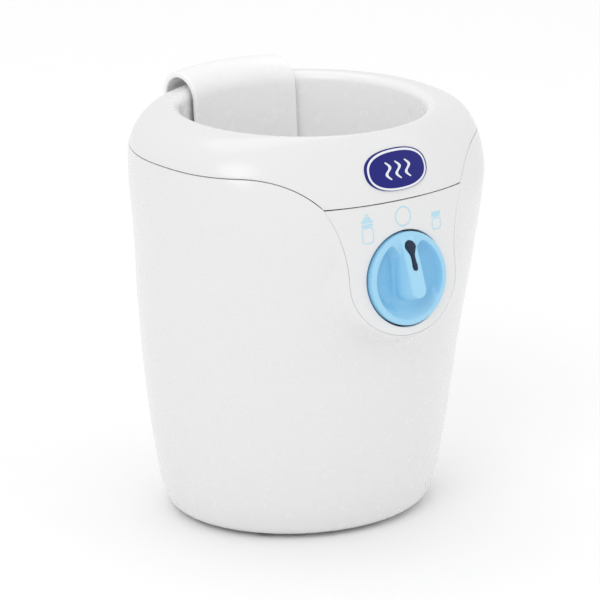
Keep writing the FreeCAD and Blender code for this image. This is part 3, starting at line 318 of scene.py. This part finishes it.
def outer_shell():
    opening, height, inset = shell_rows()
    start = np.where(opening > 0, front_angle(opening, height), 0)
    share = np.linspace(0, 1, 124) ** 1.6
    phi = start[:, None] + (math.pi - start[:, None]) * share
    z = np.repeat(height[:, None], phi.shape[1], axis=1)
    x, y = envelope(phi, z)
    y = y + np.where(np.cos(phi) > 0, pod_push(x, z), 0)
    outside = stack(x, y, z)
    for row, distance in enumerate(inset):
        outside[row] = inward(outside[row], distance)
    inside = inward(outside, SKIN)
    lip = inward(outside, EDGE_INSET)
    outside[0] = lip[0]
    framed = opening > 0
    outside[framed, 0] = lip[framed, 0]
    rows, columns = phi.shape
    points, faces = [], []
    for side in (1, -1):
        flip = np.array((side, 1, 1))
        base = len(points) * rows * columns
        points += [(outside * flip).reshape(-1, 3), (inside * flip).reshape(-1, 3)]
        faces += sheet_faces(rows, columns, start=base)
        faces += sheet_faces(rows, columns, start=base + rows * columns)
        over = rows * columns
        rim = [(base + column, base + column + 1) for column in range(columns - 1)]
        rim += [(base + (rows - 1) * columns + column, base + (rows - 1) * columns + column + 1)
                for column in range(columns - 1)]
        rim += [(base + row * columns, base + (row + 1) * columns) for row in range(rows - 1)
                if opening[row] > 0]
        faces += [(a, b, b + over, a + over) for a, b in rim]
    return build_mesh("casing", np.concatenate(points), faces)


# ---------------------------------------------------------------- collar and chamber

def collar():
    phi = np.linspace(-math.pi, math.pi, 480, endpoint=False)
    corner = float(front_angle(PANEL_HALF, PANEL_TOP + SEAM_GAP))
    beside = math.radians(0.25)
    phi = np.sort(np.concatenate([phi, [corner, -corner, corner + beside, -corner - beside]]))
    ahead = np.cos(phi) > 0
    levels = np.linspace(122, 141, 1200)[:, None]
    above = levels - seam_height(envelope(phi, levels)[0], ahead, SEAM_GAP)
    first = np.argmax(above > 0, axis=0)
    column = np.arange(len(phi))
    step = above[first, column] - above[first - 1, column]
    low = levels[first, 0] - above[first, column] / step * (levels[1, 0] - levels[0, 0])

    foot, power = shoulder(phi)
    start = np.arcsin(np.clip((low - foot) / (CREST - foot), 0, 1) ** (power / 2))
    skin = []
    for share in np.linspace(0, 1, 36):
        turn = start + (math.pi / 2 - start) * share
        z = foot + (CREST - foot) * np.sin(turn) ** (2 / power)
        skin.append(stack(*envelope(phi, z), z))
    skin[0] = inward(skin[0], EDGE_INSET)

    def ring(radius, z):
        return stack(radius * np.sin(phi), -radius * np.cos(phi), z)

    rim_z = CREST - RIM_ROUND
    rim = [ring(CREST_RADIUS - RIM_ROUND * math.sin(a), rim_z + RIM_ROUND * math.cos(a))
           for a in np.linspace(0, math.pi / 2, 12)[1:]]
    wall = [ring(chamber_radius(z), z) for z in np.linspace(rim_z, CHAMBER_FLOOR + FLOOR_FILLET, 18)[1:]]
    corner_radius = chamber_radius(CHAMBER_FLOOR + FLOOR_FILLET)
    floor = [ring(corner_radius - FLOOR_FILLET * (1 - math.cos(a)),
                  CHAMBER_FLOOR + FLOOR_FILLET * (1 - math.sin(a)))
             for a in np.linspace(0, math.pi / 2, 8)[1:]]
    under = CHAMBER_FLOOR - FLOOR_THICKNESS
    floor += [ring(LEDGE_RADIUS + 0.3, CHAMBER_FLOOR), ring(LEDGE_RADIUS, CHAMBER_FLOOR - 0.3),
              ring(LEDGE_RADIUS, under), ring(chamber_radius(under) + CHAMBER_WALL, under)]
    roof = CREST - RIM_ROUND
    back = [ring(chamber_radius(z) + CHAMBER_WALL, z) for z in (80, 118, roof)]
    inside = [inward(stack(*envelope(phi, z), z), SKIN)
              for z in (roof + (low - roof) * share for share in np.linspace(0, 1, 10))]
    return loop_mesh("collar_and_chamber", skin + rim + wall + floor + back + inside)


# ---------------------------------------------------------------- control panel

def control_panel():
    edge_x, edge_z = panel_edge(400, 600)
    top = np.linspace(0, PANEL_HALF, 200)
    edge_x = np.concatenate([top[:-1], edge_x])
    edge_z = np.concatenate([np.full(199, PANEL_TOP), edge_z])
    bearing = np.unwrap(np.arctan2(edge_x, edge_z - PIVOT[2]))
    corner = math.atan2(PANEL_HALF, PANEL_TOP - PIVOT[2])
    side = np.sort(np.append(np.linspace(0, math.pi, 221), [corner, corner - 0.01, corner + 0.01]))
    reach = np.interp(side, bearing, np.hypot(edge_x, edge_z - PIVOT[2]))
    theta = np.concatenate([side, 2 * math.pi - side[-2:0:-1]])
    # the joint is widest at the panel's top corners and closes up towards its foot
    reach -= PANEL_GAP * (0.35 + 0.95 * smooth((2.5 - side) / 1.2))
    reach = np.concatenate([reach, reach[-2:0:-1]])
    sine, cosine = np.sin(theta), np.cos(theta)

    def face(radius, depth):
        x, z = radius * sine, PIVOT[2] + radius * cosine
        return stack(x, panel_y(x, z), z) - depth * OUT

    def well(radius, w):
        return on_knob(radius * sine, radius * cosine, np.full(len(theta), w))

    lip = 0.25
    rows = [face(WELL_RADIUS + lip + (reach - 2 * lip - WELL_RADIUS) * share, 0)
            for share in np.linspace(0, 1, 26)]
    rows += [face(reach - 0.07, 0.07), face(reach, lip), face(reach, PANEL_DEPTH),
             face(np.full(len(theta), WELL_RADIUS + 1.6), PANEL_DEPTH),
             well(WELL_RADIUS + 1.6, -WELL_DEPTH - 2), well(6, -WELL_DEPTH - 2), well(6, -WELL_DEPTH),
             well(WELL_RADIUS - 0.8, -WELL_DEPTH), well(WELL_RADIUS, -WELL_DEPTH + 0.8),
             face(np.full(len(theta), WELL_RADIUS), lip),
             face(np.full(len(theta), WELL_RADIUS + 0.07), 0.07)]
    return loop_mesh("panel_face", rows)


# ---------------------------------------------------------------- thin prints and marks

def decal_outline(name, path, width, face_at, lift=0.06):
    """A closed raised line along a path of (x, z), lying on a surface."""
    path = np.asarray(path, float)
    ahead = np.roll(path, -1, axis=0) - np.roll(path, 1, axis=0)
    ahead /= np.linalg.norm(ahead, axis=1)[:, None]
    across = np.stack([-ahead[:, 1], ahead[:, 0]], axis=1)
    rows = []
    for side, height in ((-0.5, -0.03), (-0.4, lift), (0.4, lift), (0.5, -0.03)):
        spot = path + across * side * width
        rows.append(stack(spot[:, 0], face_at(spot[:, 0], spot[:, 1]) - height, spot[:, 1]))
    return loop_mesh(name, rows)


def decal_patch(name, path, face_at, lift=0.06, rings=6):
    """A closed raised patch inside a path of (x, z), lying on a surface."""
    path = np.asarray(path, float)
    middle = path.mean(axis=0)
    rows = []
    top = [(k / rings, lift) for k in range(rings)]
    for share, height in top + [(0.985, lift), (1, lift * 0.4), (1, -0.03), (0, -0.03)]:
        spot = middle + (path - middle) * share
        rows.append(stack(spot[:, 0], face_at(spot[:, 0], spot[:, 1]) - height, spot[:, 1]))
    return loop_mesh(name, rows)


def round_box(x, z, half_width, half_height, radius, steps=7):
    points = []
    for quarter, (side, level) in enumerate(((1, 1), (-1, 1), (-1, -1), (1, -1))):
        for step in range(steps):
            turn = math.pi / 2 * (quarter + step / (steps - 1))
            points.append((x + side * (half_width - radius) + radius * math.cos(turn),
                           z + level * (half_height - radius) + radius * math.sin(turn)))
    return points


def circle(x, z, radius, steps=64):
    return [(x + radius * math.cos(t), z + radius * math.sin(t))
            for t in np.linspace(0, 2 * math.pi, steps, endpoint=False)]


def panel_prints():
    """Bottle, plain ring and jar above the knob."""
    line = 0.45
    bottle, jar = -15.0, 15.2
    return [
        decal_outline("print_ring", circle(0, 121.2, 3.3), 0.6, panel_y),
        decal_outline("print_bottle_body", round_box(bottle, 116.6, 2.1, 2.7, 1.1), line, panel_y),
        decal_patch("print_bottle_collar", round_box(bottle, 120.1, 2.3, 0.5, 0.25), panel_y),
        decal_patch("print_bottle_ring", round_box(bottle, 121.4, 2.3, 0.45, 0.25), panel_y),
        decal_patch("print_bottle_shoulder", round_box(bottle, 122.3, 1.5, 0.6, 0.5), panel_y),
        decal_outline("print_bottle_teat", circle(bottle, 123.5, 0.55, 28), line, panel_y),
        decal_outline("print_jar_body", round_box(jar, 115.9, 2.1, 1.9, 1.2), line, panel_y),
        decal_patch("print_jar_lid", round_box(jar, 119.2, 2.2, 0.9, 0.35), panel_y)]


# ---------------------------------------------------------------- badge

def badge_outline(share, steps=120):
    """A full oval with slightly flattened sides."""
    turn = np.linspace(0, 2 * math.pi, steps, endpoint=False)
    power = 2 / 2.35
    x = BADGE_X * share * np.sign(np.cos(turn)) * np.abs(np.cos(turn)) ** power
    z = BADGE_Z + BADGE_HALF * share * np.sign(np.sin(turn)) * np.abs(np.sin(turn)) ** power
    return np.stack([x, z], axis=1)


def badge_body():
    sections = [(0.001, 0.72), (0.3, 0.7), (0.6, 0.67), (0.86, 0.62), (0.93, 0.6), (0.97, 0.52), (0.99, 0.38),
                (1.0, 0.15), (1.0, -0.3), (0.001, -0.3)]
    rows = []
    for share, height in sections:
        spot = badge_outline(share)
        rows.append(stack(spot[:, 0], brow(spot[:, 0], spot[:, 1]) - height, spot[:, 1]))
    return loop_mesh("badge_body", rows)


def badge_face(x, z):
    return brow(x, z) - BADGE_CROWN


def badge_marks():
    """A pale border and three rising heat waves: a generic mark with no lettering."""
    marks = [decal_outline("badge_border", badge_outline(0.91), 0.75, badge_face, 0.08)]
    for index, x in enumerate((-4.2, 0, 4.2)):
        rise = np.linspace(-3.0, 3.0, 26)
        wave = x + 0.9 * np.sin(rise * 1.35)
        thick = 0.62 * np.sqrt(np.clip(1 - (rise / 3.05) ** 6, 0, 1)) + 0.02
        path = np.concatenate([np.stack([wave + thick, BADGE_Z + rise], axis=1),
                               np.stack([wave - thick, BADGE_Z + rise], axis=1)[::-1]])
        rows = []
        for squeeze, height in ((1, -0.03), (0.86, 0.16), (0.02, 0.2), (0.02, -0.03)):
            both = np.concatenate([wave, wave[::-1]])
            spot = np.stack([both + (path[:, 0] - both) * squeeze, path[:, 1]], axis=1)
            rows.append(stack(spot[:, 0], badge_face(spot[:, 0], spot[:, 1]) - height, spot[:, 1]))
        marks.append(loop_mesh(f"badge_wave_{index + 1}", rows))
    return marks


# ---------------------------------------------------------------- knob

def grip_top(v):
    """Height of the grip's back along the knob."""
    return 1.1 + 6.0 * np.clip((GRIP_START - v) / 21.9, 0, 1) ** 0.7


def knob_face(u, v):
    """Height of the knob's face: a rim, two dished hollows and the tapered grip between them."""
    radius = np.hypot(u, v)
    tail = np.minimum(v - GRIP_END, 0)
    bar = np.hypot(u, tail)
    fan = np.hypot(u, v - FAN_CENTRE) - FAN_RADIUS
    land = soft_min(bar - 3.3, fan, 3.0)
    hollow = soft_max(radius - HOLLOW_RADIUS, -land, 2.0)
    ramp = 2.6 + 3.0 * smooth((-v - 5) / 6)
    inside = np.clip(-hollow / ramp, 0, 1)
    beyond = bar - GRIP_HALF
    crease = CREASE_DEPTH * np.exp(-(beyond / CREASE_REACH) ** 2) * inside
    floor = KNOB_RIM - HOLLOW_DEPTH * (1 - (1 - inside) ** 2) - crease
    edge = np.clip((radius - (KNOB_RADIUS - KNOB_EDGE)) / KNOB_EDGE, 0, 1)
    floor = floor - KNOB_EDGE * (1 - np.sqrt(1 - edge ** 2))
    turn = np.clip((beyond + KNOB_EDGE) / KNOB_EDGE, 0, 1)
    grip = grip_top(v) - KNOB_EDGE * (1 - np.sqrt(1 - 0.96 * turn ** 2)) - 4.2 * np.maximum(beyond, 0)
    return np.where(radius < HOLLOW_RADIUS + KNOB_EDGE, soft_max(floor, grip, KNOB_EDGE), floor)


def knob():
    turn = np.linspace(0, 2 * math.pi, 420, endpoint=False)
    inner = np.linspace(0, KNOB_RADIUS - KNOB_EDGE, 116)
    outer = KNOB_RADIUS - KNOB_EDGE + KNOB_EDGE * np.sin(np.linspace(0, math.pi / 2, 8))[1:]
    rows = []
    for radius in np.concatenate([inner, outer]):
        u, v = radius * np.sin(turn), radius * np.cos(turn)
        rows.append(on_knob(u, v, knob_face(u, v)))
    for radius, w in ((KNOB_RADIUS, -1.5), (KNOB_RADIUS, KNOB_SKIRT + 0.3), (KNOB_RADIUS - 0.3, KNOB_SKIRT),
                      (0, KNOB_SKIRT)):
        rows.append(on_knob(radius * np.sin(turn), radius * np.cos(turn), np.full(len(turn), w)))
    return loop_mesh("dial_knob", rows, sharp=70)


POINTER_HALF = ((3.1, 0.02), (3.35, 0.62), (4.2, 1.0), (6.5, 0.92), (8.6, 1.0), (9.8, 1.55), (11.3, 2.3),
                (12.6, 1.95), (13.4, 1.1), (13.75, 0.02))


def pointer():
    """The dark spoon-shaped inlay, slightly crowned, sunk in the grip's back."""
    v = np.linspace(POINTER_HALF[0][0], POINTER_HALF[-1][0], 72)
    half = np.clip(along(POINTER_HALF, v), 0.02, None)
    rows = []
    for share in np.concatenate([np.linspace(-1, 1, 19), np.linspace(1, -1, 5)]):
        sunk = len(rows) >= 19
        crown = -0.5 if sunk else 0.16 + 0.3 * np.sqrt(max(1 - share ** 2, 0)) * np.minimum(half, 1)
        rows.append(on_knob(share * half, v, grip_top(v) + crown))
    grid = np.stack(rows)
    faces = sheet_faces(grid.shape[0], grid.shape[1], wrap_rows=True)
    return build_mesh("pointer_inlay", grid.reshape(-1, 3), faces, sharp=50)


# ---------------------------------------------------------------- strap

def strap():
    """The hanger: a curved leaf in the chamber, an arch over the rim and a short outer leg."""
    thick, clearance, toe_reach = 2.2, 1.2, 9
    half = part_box("lifter_strap")[1].x / MM
    leaf_top = CREST_RADIUS - RIM_ROUND - clearance
    leg = 57.38
    arch = (leg - leaf_top) / 2
    spring = CREST + 3 - arch
    toe = 45.4
    leaf_low = chamber_radius(toe) - clearance
    outer, inner = [], []
    for share in np.linspace(0, 1, 4):
        outer.append((leaf_low - thick - toe_reach * (1 - share), toe))
        inner.append((leaf_low - thick - toe_reach * (1 - share), toe + 2))
    inner[-1] = (leaf_low - thick, toe + 2)
    outer[-1] = (leaf_low, toe)
    for share in np.linspace(0, 1, 22)[1:]:
        z = toe + 2 + (spring - toe - 2) * share
        outer.append((leaf_low + (leaf_top - leaf_low) * share, z))
        inner.append((leaf_low - thick + (leaf_top - leaf_low) * share, z))
    for turn in np.linspace(0, math.pi, 30)[1:]:
        middle = leaf_top + arch
        outer.append((middle - arch * math.cos(turn), spring + arch * math.sin(turn)))
        wide = arch + thick
        inner.append((middle - wide * math.cos(turn), spring + wide * math.sin(turn)))
    leg_end = 142.6
    for z in np.linspace(spring, leg_end + 0.4, 4)[1:]:
        outer.append((leg, z))
        inner.append((leg + thick, z))
    outer.append((leg + 0.5, leg_end))
    inner.append((leg + thick - 0.5, leg_end))
    outer, inner = np.array(outer), np.array(inner)
    middle = (outer + inner) / 2
    round_x = 0.9
    wide = np.linspace(-(half - round_x), half - round_x, 44)
    ends = half - round_x + round_x * np.sin(np.linspace(0, math.pi / 2, 6))[1:]
    across = np.concatenate([-ends[::-1], wide, ends])
    count = len(outer)
    points = []
    for x in across:
        past = max(abs(x) - (half - round_x), 0) / round_x
        keep = 0.25 + 0.75 * math.sqrt(max(1 - past ** 2, 0))
        for path in (middle + (outer - middle) * keep, (middle + (inner - middle) * keep)[::-1]):
            points.append(stack(x, np.sqrt(path[:, 0] ** 2 - x ** 2), path[:, 1]))
    grid = np.concatenate(points)
    loop = 2 * count
    faces = sheet_faces(len(across), loop, wrap_columns=True)
    for first in (0, (len(across) - 1) * loop):
        faces += [(first + k, first + k + 1, first + loop - 2 - k, first + loop - 1 - k)
                  for k in range(count - 1)]
    return build_mesh("hanger_strap", grid, faces, sharp=50)


# ---------------------------------------------------------------- materials

# Noise mostly lies between these values, so colour and gloss change over this stretch.
STOPS = (0.3, 0.7)


def texture(mat, scale, detail=3.0, stretch=(1, 1, 1)):
    """Noise in the object's own space; scale is per metre."""
    tree = mat.node_tree
    place = tree.nodes.new("ShaderNodeTexCoord")
    mapping = tree.nodes.new("ShaderNodeMapping")
    mapping.inputs["Scale"].default_value = stretch
    noise = tree.nodes.new("ShaderNodeTexNoise")
    noise.inputs["Scale"].default_value = scale
    noise.inputs["Detail"].default_value = detail
    tree.links.new(place.outputs["Object"], mapping.inputs["Vector"])
    tree.links.new(mapping.outputs["Vector"], noise.inputs["Vector"])
    return noise.outputs["Fac"]


def remap(mat, value, source, target):
    """A value on the stretch source, carried over to the stretch target."""
    tree = mat.node_tree
    span = tree.nodes.new("ShaderNodeMapRange")
    for socket, number in zip(("From Min", "From Max", "To Min", "To Max"), source + target):
        span.inputs[socket].default_value = number
    tree.links.new(value, span.inputs["Value"])
    return span.outputs["Result"]


def tint(mat, source, low, high, middle=None):
    """Base colour from low to high; middle is an optional (position, colour) between them."""
    tree = mat.node_tree
    ramp = tree.nodes.new("ShaderNodeValToRGB")
    ramp.color_ramp.elements[0].position, ramp.color_ramp.elements[1].position = STOPS
    ramp.color_ramp.elements[0].color = (*low, 1)
    ramp.color_ramp.elements[1].color = (*high, 1)
    if middle:
        ramp.color_ramp.elements.new(middle[0]).color = (*middle[1], 1)
    tree.links.new(source, ramp.inputs["Fac"])
    tree.links.new(ramp.outputs["Color"], tree.nodes["Principled BSDF"].inputs["Base Color"])


def roughen(mat, source, low, high):
    tree = mat.node_tree
    gloss = remap(mat, source, STOPS, (low, high))
    tree.links.new(gloss, tree.nodes["Principled BSDF"].inputs["Roughness"])


def relief(mat, source, depth, strength=1.0):
    """Bump of a depth in millimetres."""
    tree = mat.node_tree
    bump = tree.nodes.new("ShaderNodeBump")
    bump.inputs["Strength"].default_value = strength
    bump.inputs["Distance"].default_value = depth * MM
    tree.links.new(source, bump.inputs["Height"])
    tree.links.new(bump.outputs["Normal"], tree.nodes["Principled BSDF"].inputs["Normal"])


def shade(colour, factor):
    return tuple(min(max(channel * factor, 0), 1) for channel in colour)


def surface(name, colour, rough, spread, grain, depth, vary=0.03, stretch=(1, 1, 1), **sockets):
    """A material with colour drift, uneven gloss and a fine relief."""
    mat = bpy.data.materials.new(name)
    mat.use_nodes = True
    shader = mat.node_tree.nodes["Principled BSDF"]
    for socket, value in sockets.items():
        shader.inputs[socket.replace("_", " ")].default_value = value
    tint(mat, texture(mat, 45, 4), shade(colour, 1 - vary), shade(colour, 1 + vary))
    roughen(mat, texture(mat, 160, 3, stretch), rough - spread, rough + spread)
    relief(mat, texture(mat, grain, 2, stretch), depth)
    return mat


def moulded_gloss(name, colour):
    return surface(name, colour, 0.26, 0.03, 900, 0.0012, 0.003, Coat_Weight=0.25, Coat_Roughness=0.12,
                   Specular_IOR_Level=0.5)


def moulded_matt(name, colour):
    return surface(name, colour, 0.55, 0.07, 2400, 0.03, 0.04)


def metal(name, colour):
    return surface(name, colour, 0.32, 0.08, 1500, 0.012, 0.06, (1, 1, 14), Metallic=1.0)


def yellow_metal(name, colour):
    return surface(name, colour, 0.27, 0.09, 1100, 0.01, 0.1, (1, 1, 8), Metallic=1.0)


def cast_metal(name, colour):
    return surface(name, colour, 0.42, 0.08, 700, 0.05, 0.08, Metallic=1.0)


def rubber(name, colour):
    return surface(name, colour, 0.78, 0.08, 3200, 0.05, 0.08, Sheen_Weight=0.15)


def glazed(name, colour):
    return surface(name, colour, 0.2, 0.05, 500, 0.01, 0.03, Coat_Weight=0.5)


def clear_glass(name, colour):
    return surface(name, colour[:3], 0.08, 0.03, 400, 0.004, 0.03, Transmission_Weight=0.85)


CLASSES = {"gloss_plastic": moulded_gloss, "matte_plastic": moulded_matt, "brushed_steel": metal,
           "brass": yellow_metal, "aluminium": cast_metal, "rubber": rubber, "ceramic": glazed,
           "glass": clear_glass}
WHITE = (0.79, 0.79, 0.793)
SHADES = {"white_shell": WHITE, "white_panel": WHITE, "white_lifter": (0.91, 0.91, 0.912),
          "knob_blue": (0.28, 0.6, 0.86), "badge_navy": (0.014, 0.016, 0.19),
          "lens_dark": (0.004, 0.018, 0.05)}


def paint_hollow_shade(mat, crease, floor, rim):
    """Painted shade in the knob's hollows: palest on its rim and grip, darkest in the crease beside the grip,
    colour by height.
    """
    tree = mat.node_tree
    place = tree.nodes.new("ShaderNodeTexCoord")
    height = tree.nodes.new("ShaderNodeVectorMath")
    height.operation = "DOT_PRODUCT"
    height.inputs[1].default_value = OUT
    tree.links.new(place.outputs["Object"], height.inputs[0])
    unevenness = 0.5 * MM
    drift = tree.nodes.new("ShaderNodeMath")
    drift.operation = "MULTIPLY_ADD"
    drift.inputs[1].default_value = unevenness
    tree.links.new(texture(mat, 220, 3), drift.inputs[0])
    tree.links.new(height.outputs["Value"], drift.inputs[2])
    face = float((PIVOT + AXIS) @ OUT) * MM + unevenness / 2
    heights = (face - (HOLLOW_DEPTH - 0.2) * MM, face + (KNOB_RIM + 0.1) * MM)
    # painted shade: the crease colour low in the hollows, the floor colour between, the rim colour on the rim and
    # grip
    tint(mat, remap(mat, drift.outputs["Value"], heights, STOPS), crease, rim, (0.4, floor))


def lighten_chamber(mat, inner, outer):
    """The chamber's wall is lit by its own far side, so it is paler: colour by distance from its axis."""
    tree = mat.node_tree
    place = tree.nodes.new("ShaderNodeTexCoord")
    flat = tree.nodes.new("ShaderNodeMapping")
    flat.inputs["Location"].default_value = tuple(-AXIS * MM)
    flat.inputs["Scale"].default_value = (1, 1, 0)
    length = tree.nodes.new("ShaderNodeVectorMath")
    length.operation = "LENGTH"
    tree.links.new(place.outputs["Object"], flat.inputs["Vector"])
    tree.links.new(flat.outputs["Vector"], length.inputs[0])
    rim = ((CREST_RADIUS - RIM_ROUND) * MM, CREST_RADIUS * MM)
    tint(mat, remap(mat, length.outputs["Value"], rim, STOPS), inner, outer)


def slot_materials():
    made = {}
    for entry in frame["record"]["materials"]:
        slot = entry["slot"]
        colour = SHADES.get(slot, tuple(entry["base_color"][:3]))
        made[slot] = CLASSES[entry["class"]](slot, colour)
    made["lens_dark"] = surface("lens_dark", SHADES["lens_dark"], 0.22, 0.04, 900, 0.004, 0.05,
                                Specular_IOR_Level=0.3)
    made["badge_navy"] = surface("badge_navy", SHADES["badge_navy"], 0.4, 0.04, 900, 0.002, 0.05,
                                 Specular_IOR_Level=0.2)
    # painted shade on the knob: darkest in the crease beside the grip, palest on the rim
    paint_hollow_shade(made["knob_blue"], (0.07, 0.31, 0.66), (0.21, 0.53, 0.8), (0.342, 0.655, 0.87))
    return made


def dress_cad(materials):
    """Every CAD node that still shows gets its slot's finish."""
    for part in frame["record"]["subparts"]:
        node = frame["nodes"][part["node"]]
        node.data.materials.clear()
        node.data.materials.append(materials[part["material_slot"]])


def set_up(piece, material, slot, body, *nodes):
    piece.data.materials.append(material)
    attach(piece, body)
    if nodes:
        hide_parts(*nodes)


# ---------------------------------------------------------------- studio

def studio():
    half = 4.0
    mesh = bpy.data.meshes.new("studio_floor")
    corners = [(-half, -half, 0), (half, -half, 0), (half, half, 0), (-half, half, 0)]
    mesh.from_pydata(corners, [], [(0, 1, 2, 3)])
    floor = bpy.data.objects.new("studio_floor", mesh)
    bpy.context.scene.collection.objects.link(floor)
    mesh.materials.append(surface("studio_floor", (0.97, 0.97, 0.97), 0.8, 0.02, 60, 0.02, 0.002))
    world = bpy.data.worlds.new("studio")
    world.use_nodes = True
    world.node_tree.nodes["Background"].inputs["Color"].default_value = (1, 1, 1, 1)
    world.node_tree.nodes["Background"].inputs["Strength"].default_value = 0.87
    bpy.context.scene.world = world
    bpy.context.scene.view_settings.view_transform = "Standard"
    for name, spot, width, power in (("key", (-1.6, -1.0, 1.8), 1.3, 9), ("fill", (1.6, -1.6, 1.2), 1.6, 2.5),
                                     ("top", (0.1, 0.5, 2.1), 1.6, 5)):
        lamp = bpy.data.lights.new(name, "AREA")
        lamp.shape = "DISK"
        lamp.size = width
        lamp.energy = power
        thing = bpy.data.objects.new(name, lamp)
        thing.location = spot
        thing.rotation_euler = (Vector((0, 0, 0.08)) - Vector(spot)).to_track_quat("-Z", "Y").to_euler()
        bpy.context.scene.collection.objects.link(thing)


def camera():
    """Seen from the front left and a little above."""
    turn, rise, distance = math.radians(-36.9), math.radians(17.35), 1.5
    back = Vector((math.sin(turn) * math.cos(rise), -math.cos(turn) * math.cos(rise), math.sin(rise)))
    right = Vector((math.cos(turn), math.sin(turn), 0))
    lens = bpy.data.cameras.new("camera")
    lens.lens = 248.7
    thing = bpy.data.objects.new("camera", lens)
    aim = (Vector(AXIS) + Vector((0, 2.5, 75.58)) + right * 0.43) * MM
    thing.location = aim + back * distance
    thing.rotation_mode = "QUATERNION"
    thing.rotation_quaternion = (-back).to_track_quat("-Z", "Y")
    bpy.context.scene.collection.objects.link(thing)
    bpy.context.scene.camera = thing


# ---------------------------------------------------------------- the object

camera()
studio()
finishes = slot_materials()
dress_cad(finishes)
print_blue = surface("print_blue", (0.48, 0.73, 0.84), 0.4, 0.04, 1800, 0.004, 0.03)
badge_white = surface("badge_white", (0.82, 0.84, 0.88), 0.3, 0.04, 1500, 0.004, 0.02)
gloss = finishes["white_shell"]

set_up(outer_shell(), gloss, "white_shell", "housing", "outer_shell")
chamber_white = moulded_gloss("white_chamber", WHITE)
lighten_chamber(chamber_white, (0.93, 0.93, 0.93), WHITE)
set_up(collar(), chamber_white, "white_shell", "housing", "chamber_collar", "chamber_cup")
set_up(control_panel(), finishes["white_panel"], "white_panel", "housing", "control_panel")
for mark in panel_prints():
    set_up(mark, print_blue, "white_panel", "housing")
set_up(badge_body(), finishes["badge_navy"], "badge_navy", "housing", "badge")
for mark in badge_marks():
    set_up(mark, badge_white, "badge_navy", "housing")
set_up(knob(), finishes["knob_blue"], "knob_blue", "knob", "control_knob")
set_up(pointer(), finishes["lens_dark"], "lens_dark", "knob", "knob_lens")
set_up(strap(), finishes["white_lifter"], "white_lifter", "lifter", "lifter_strap")
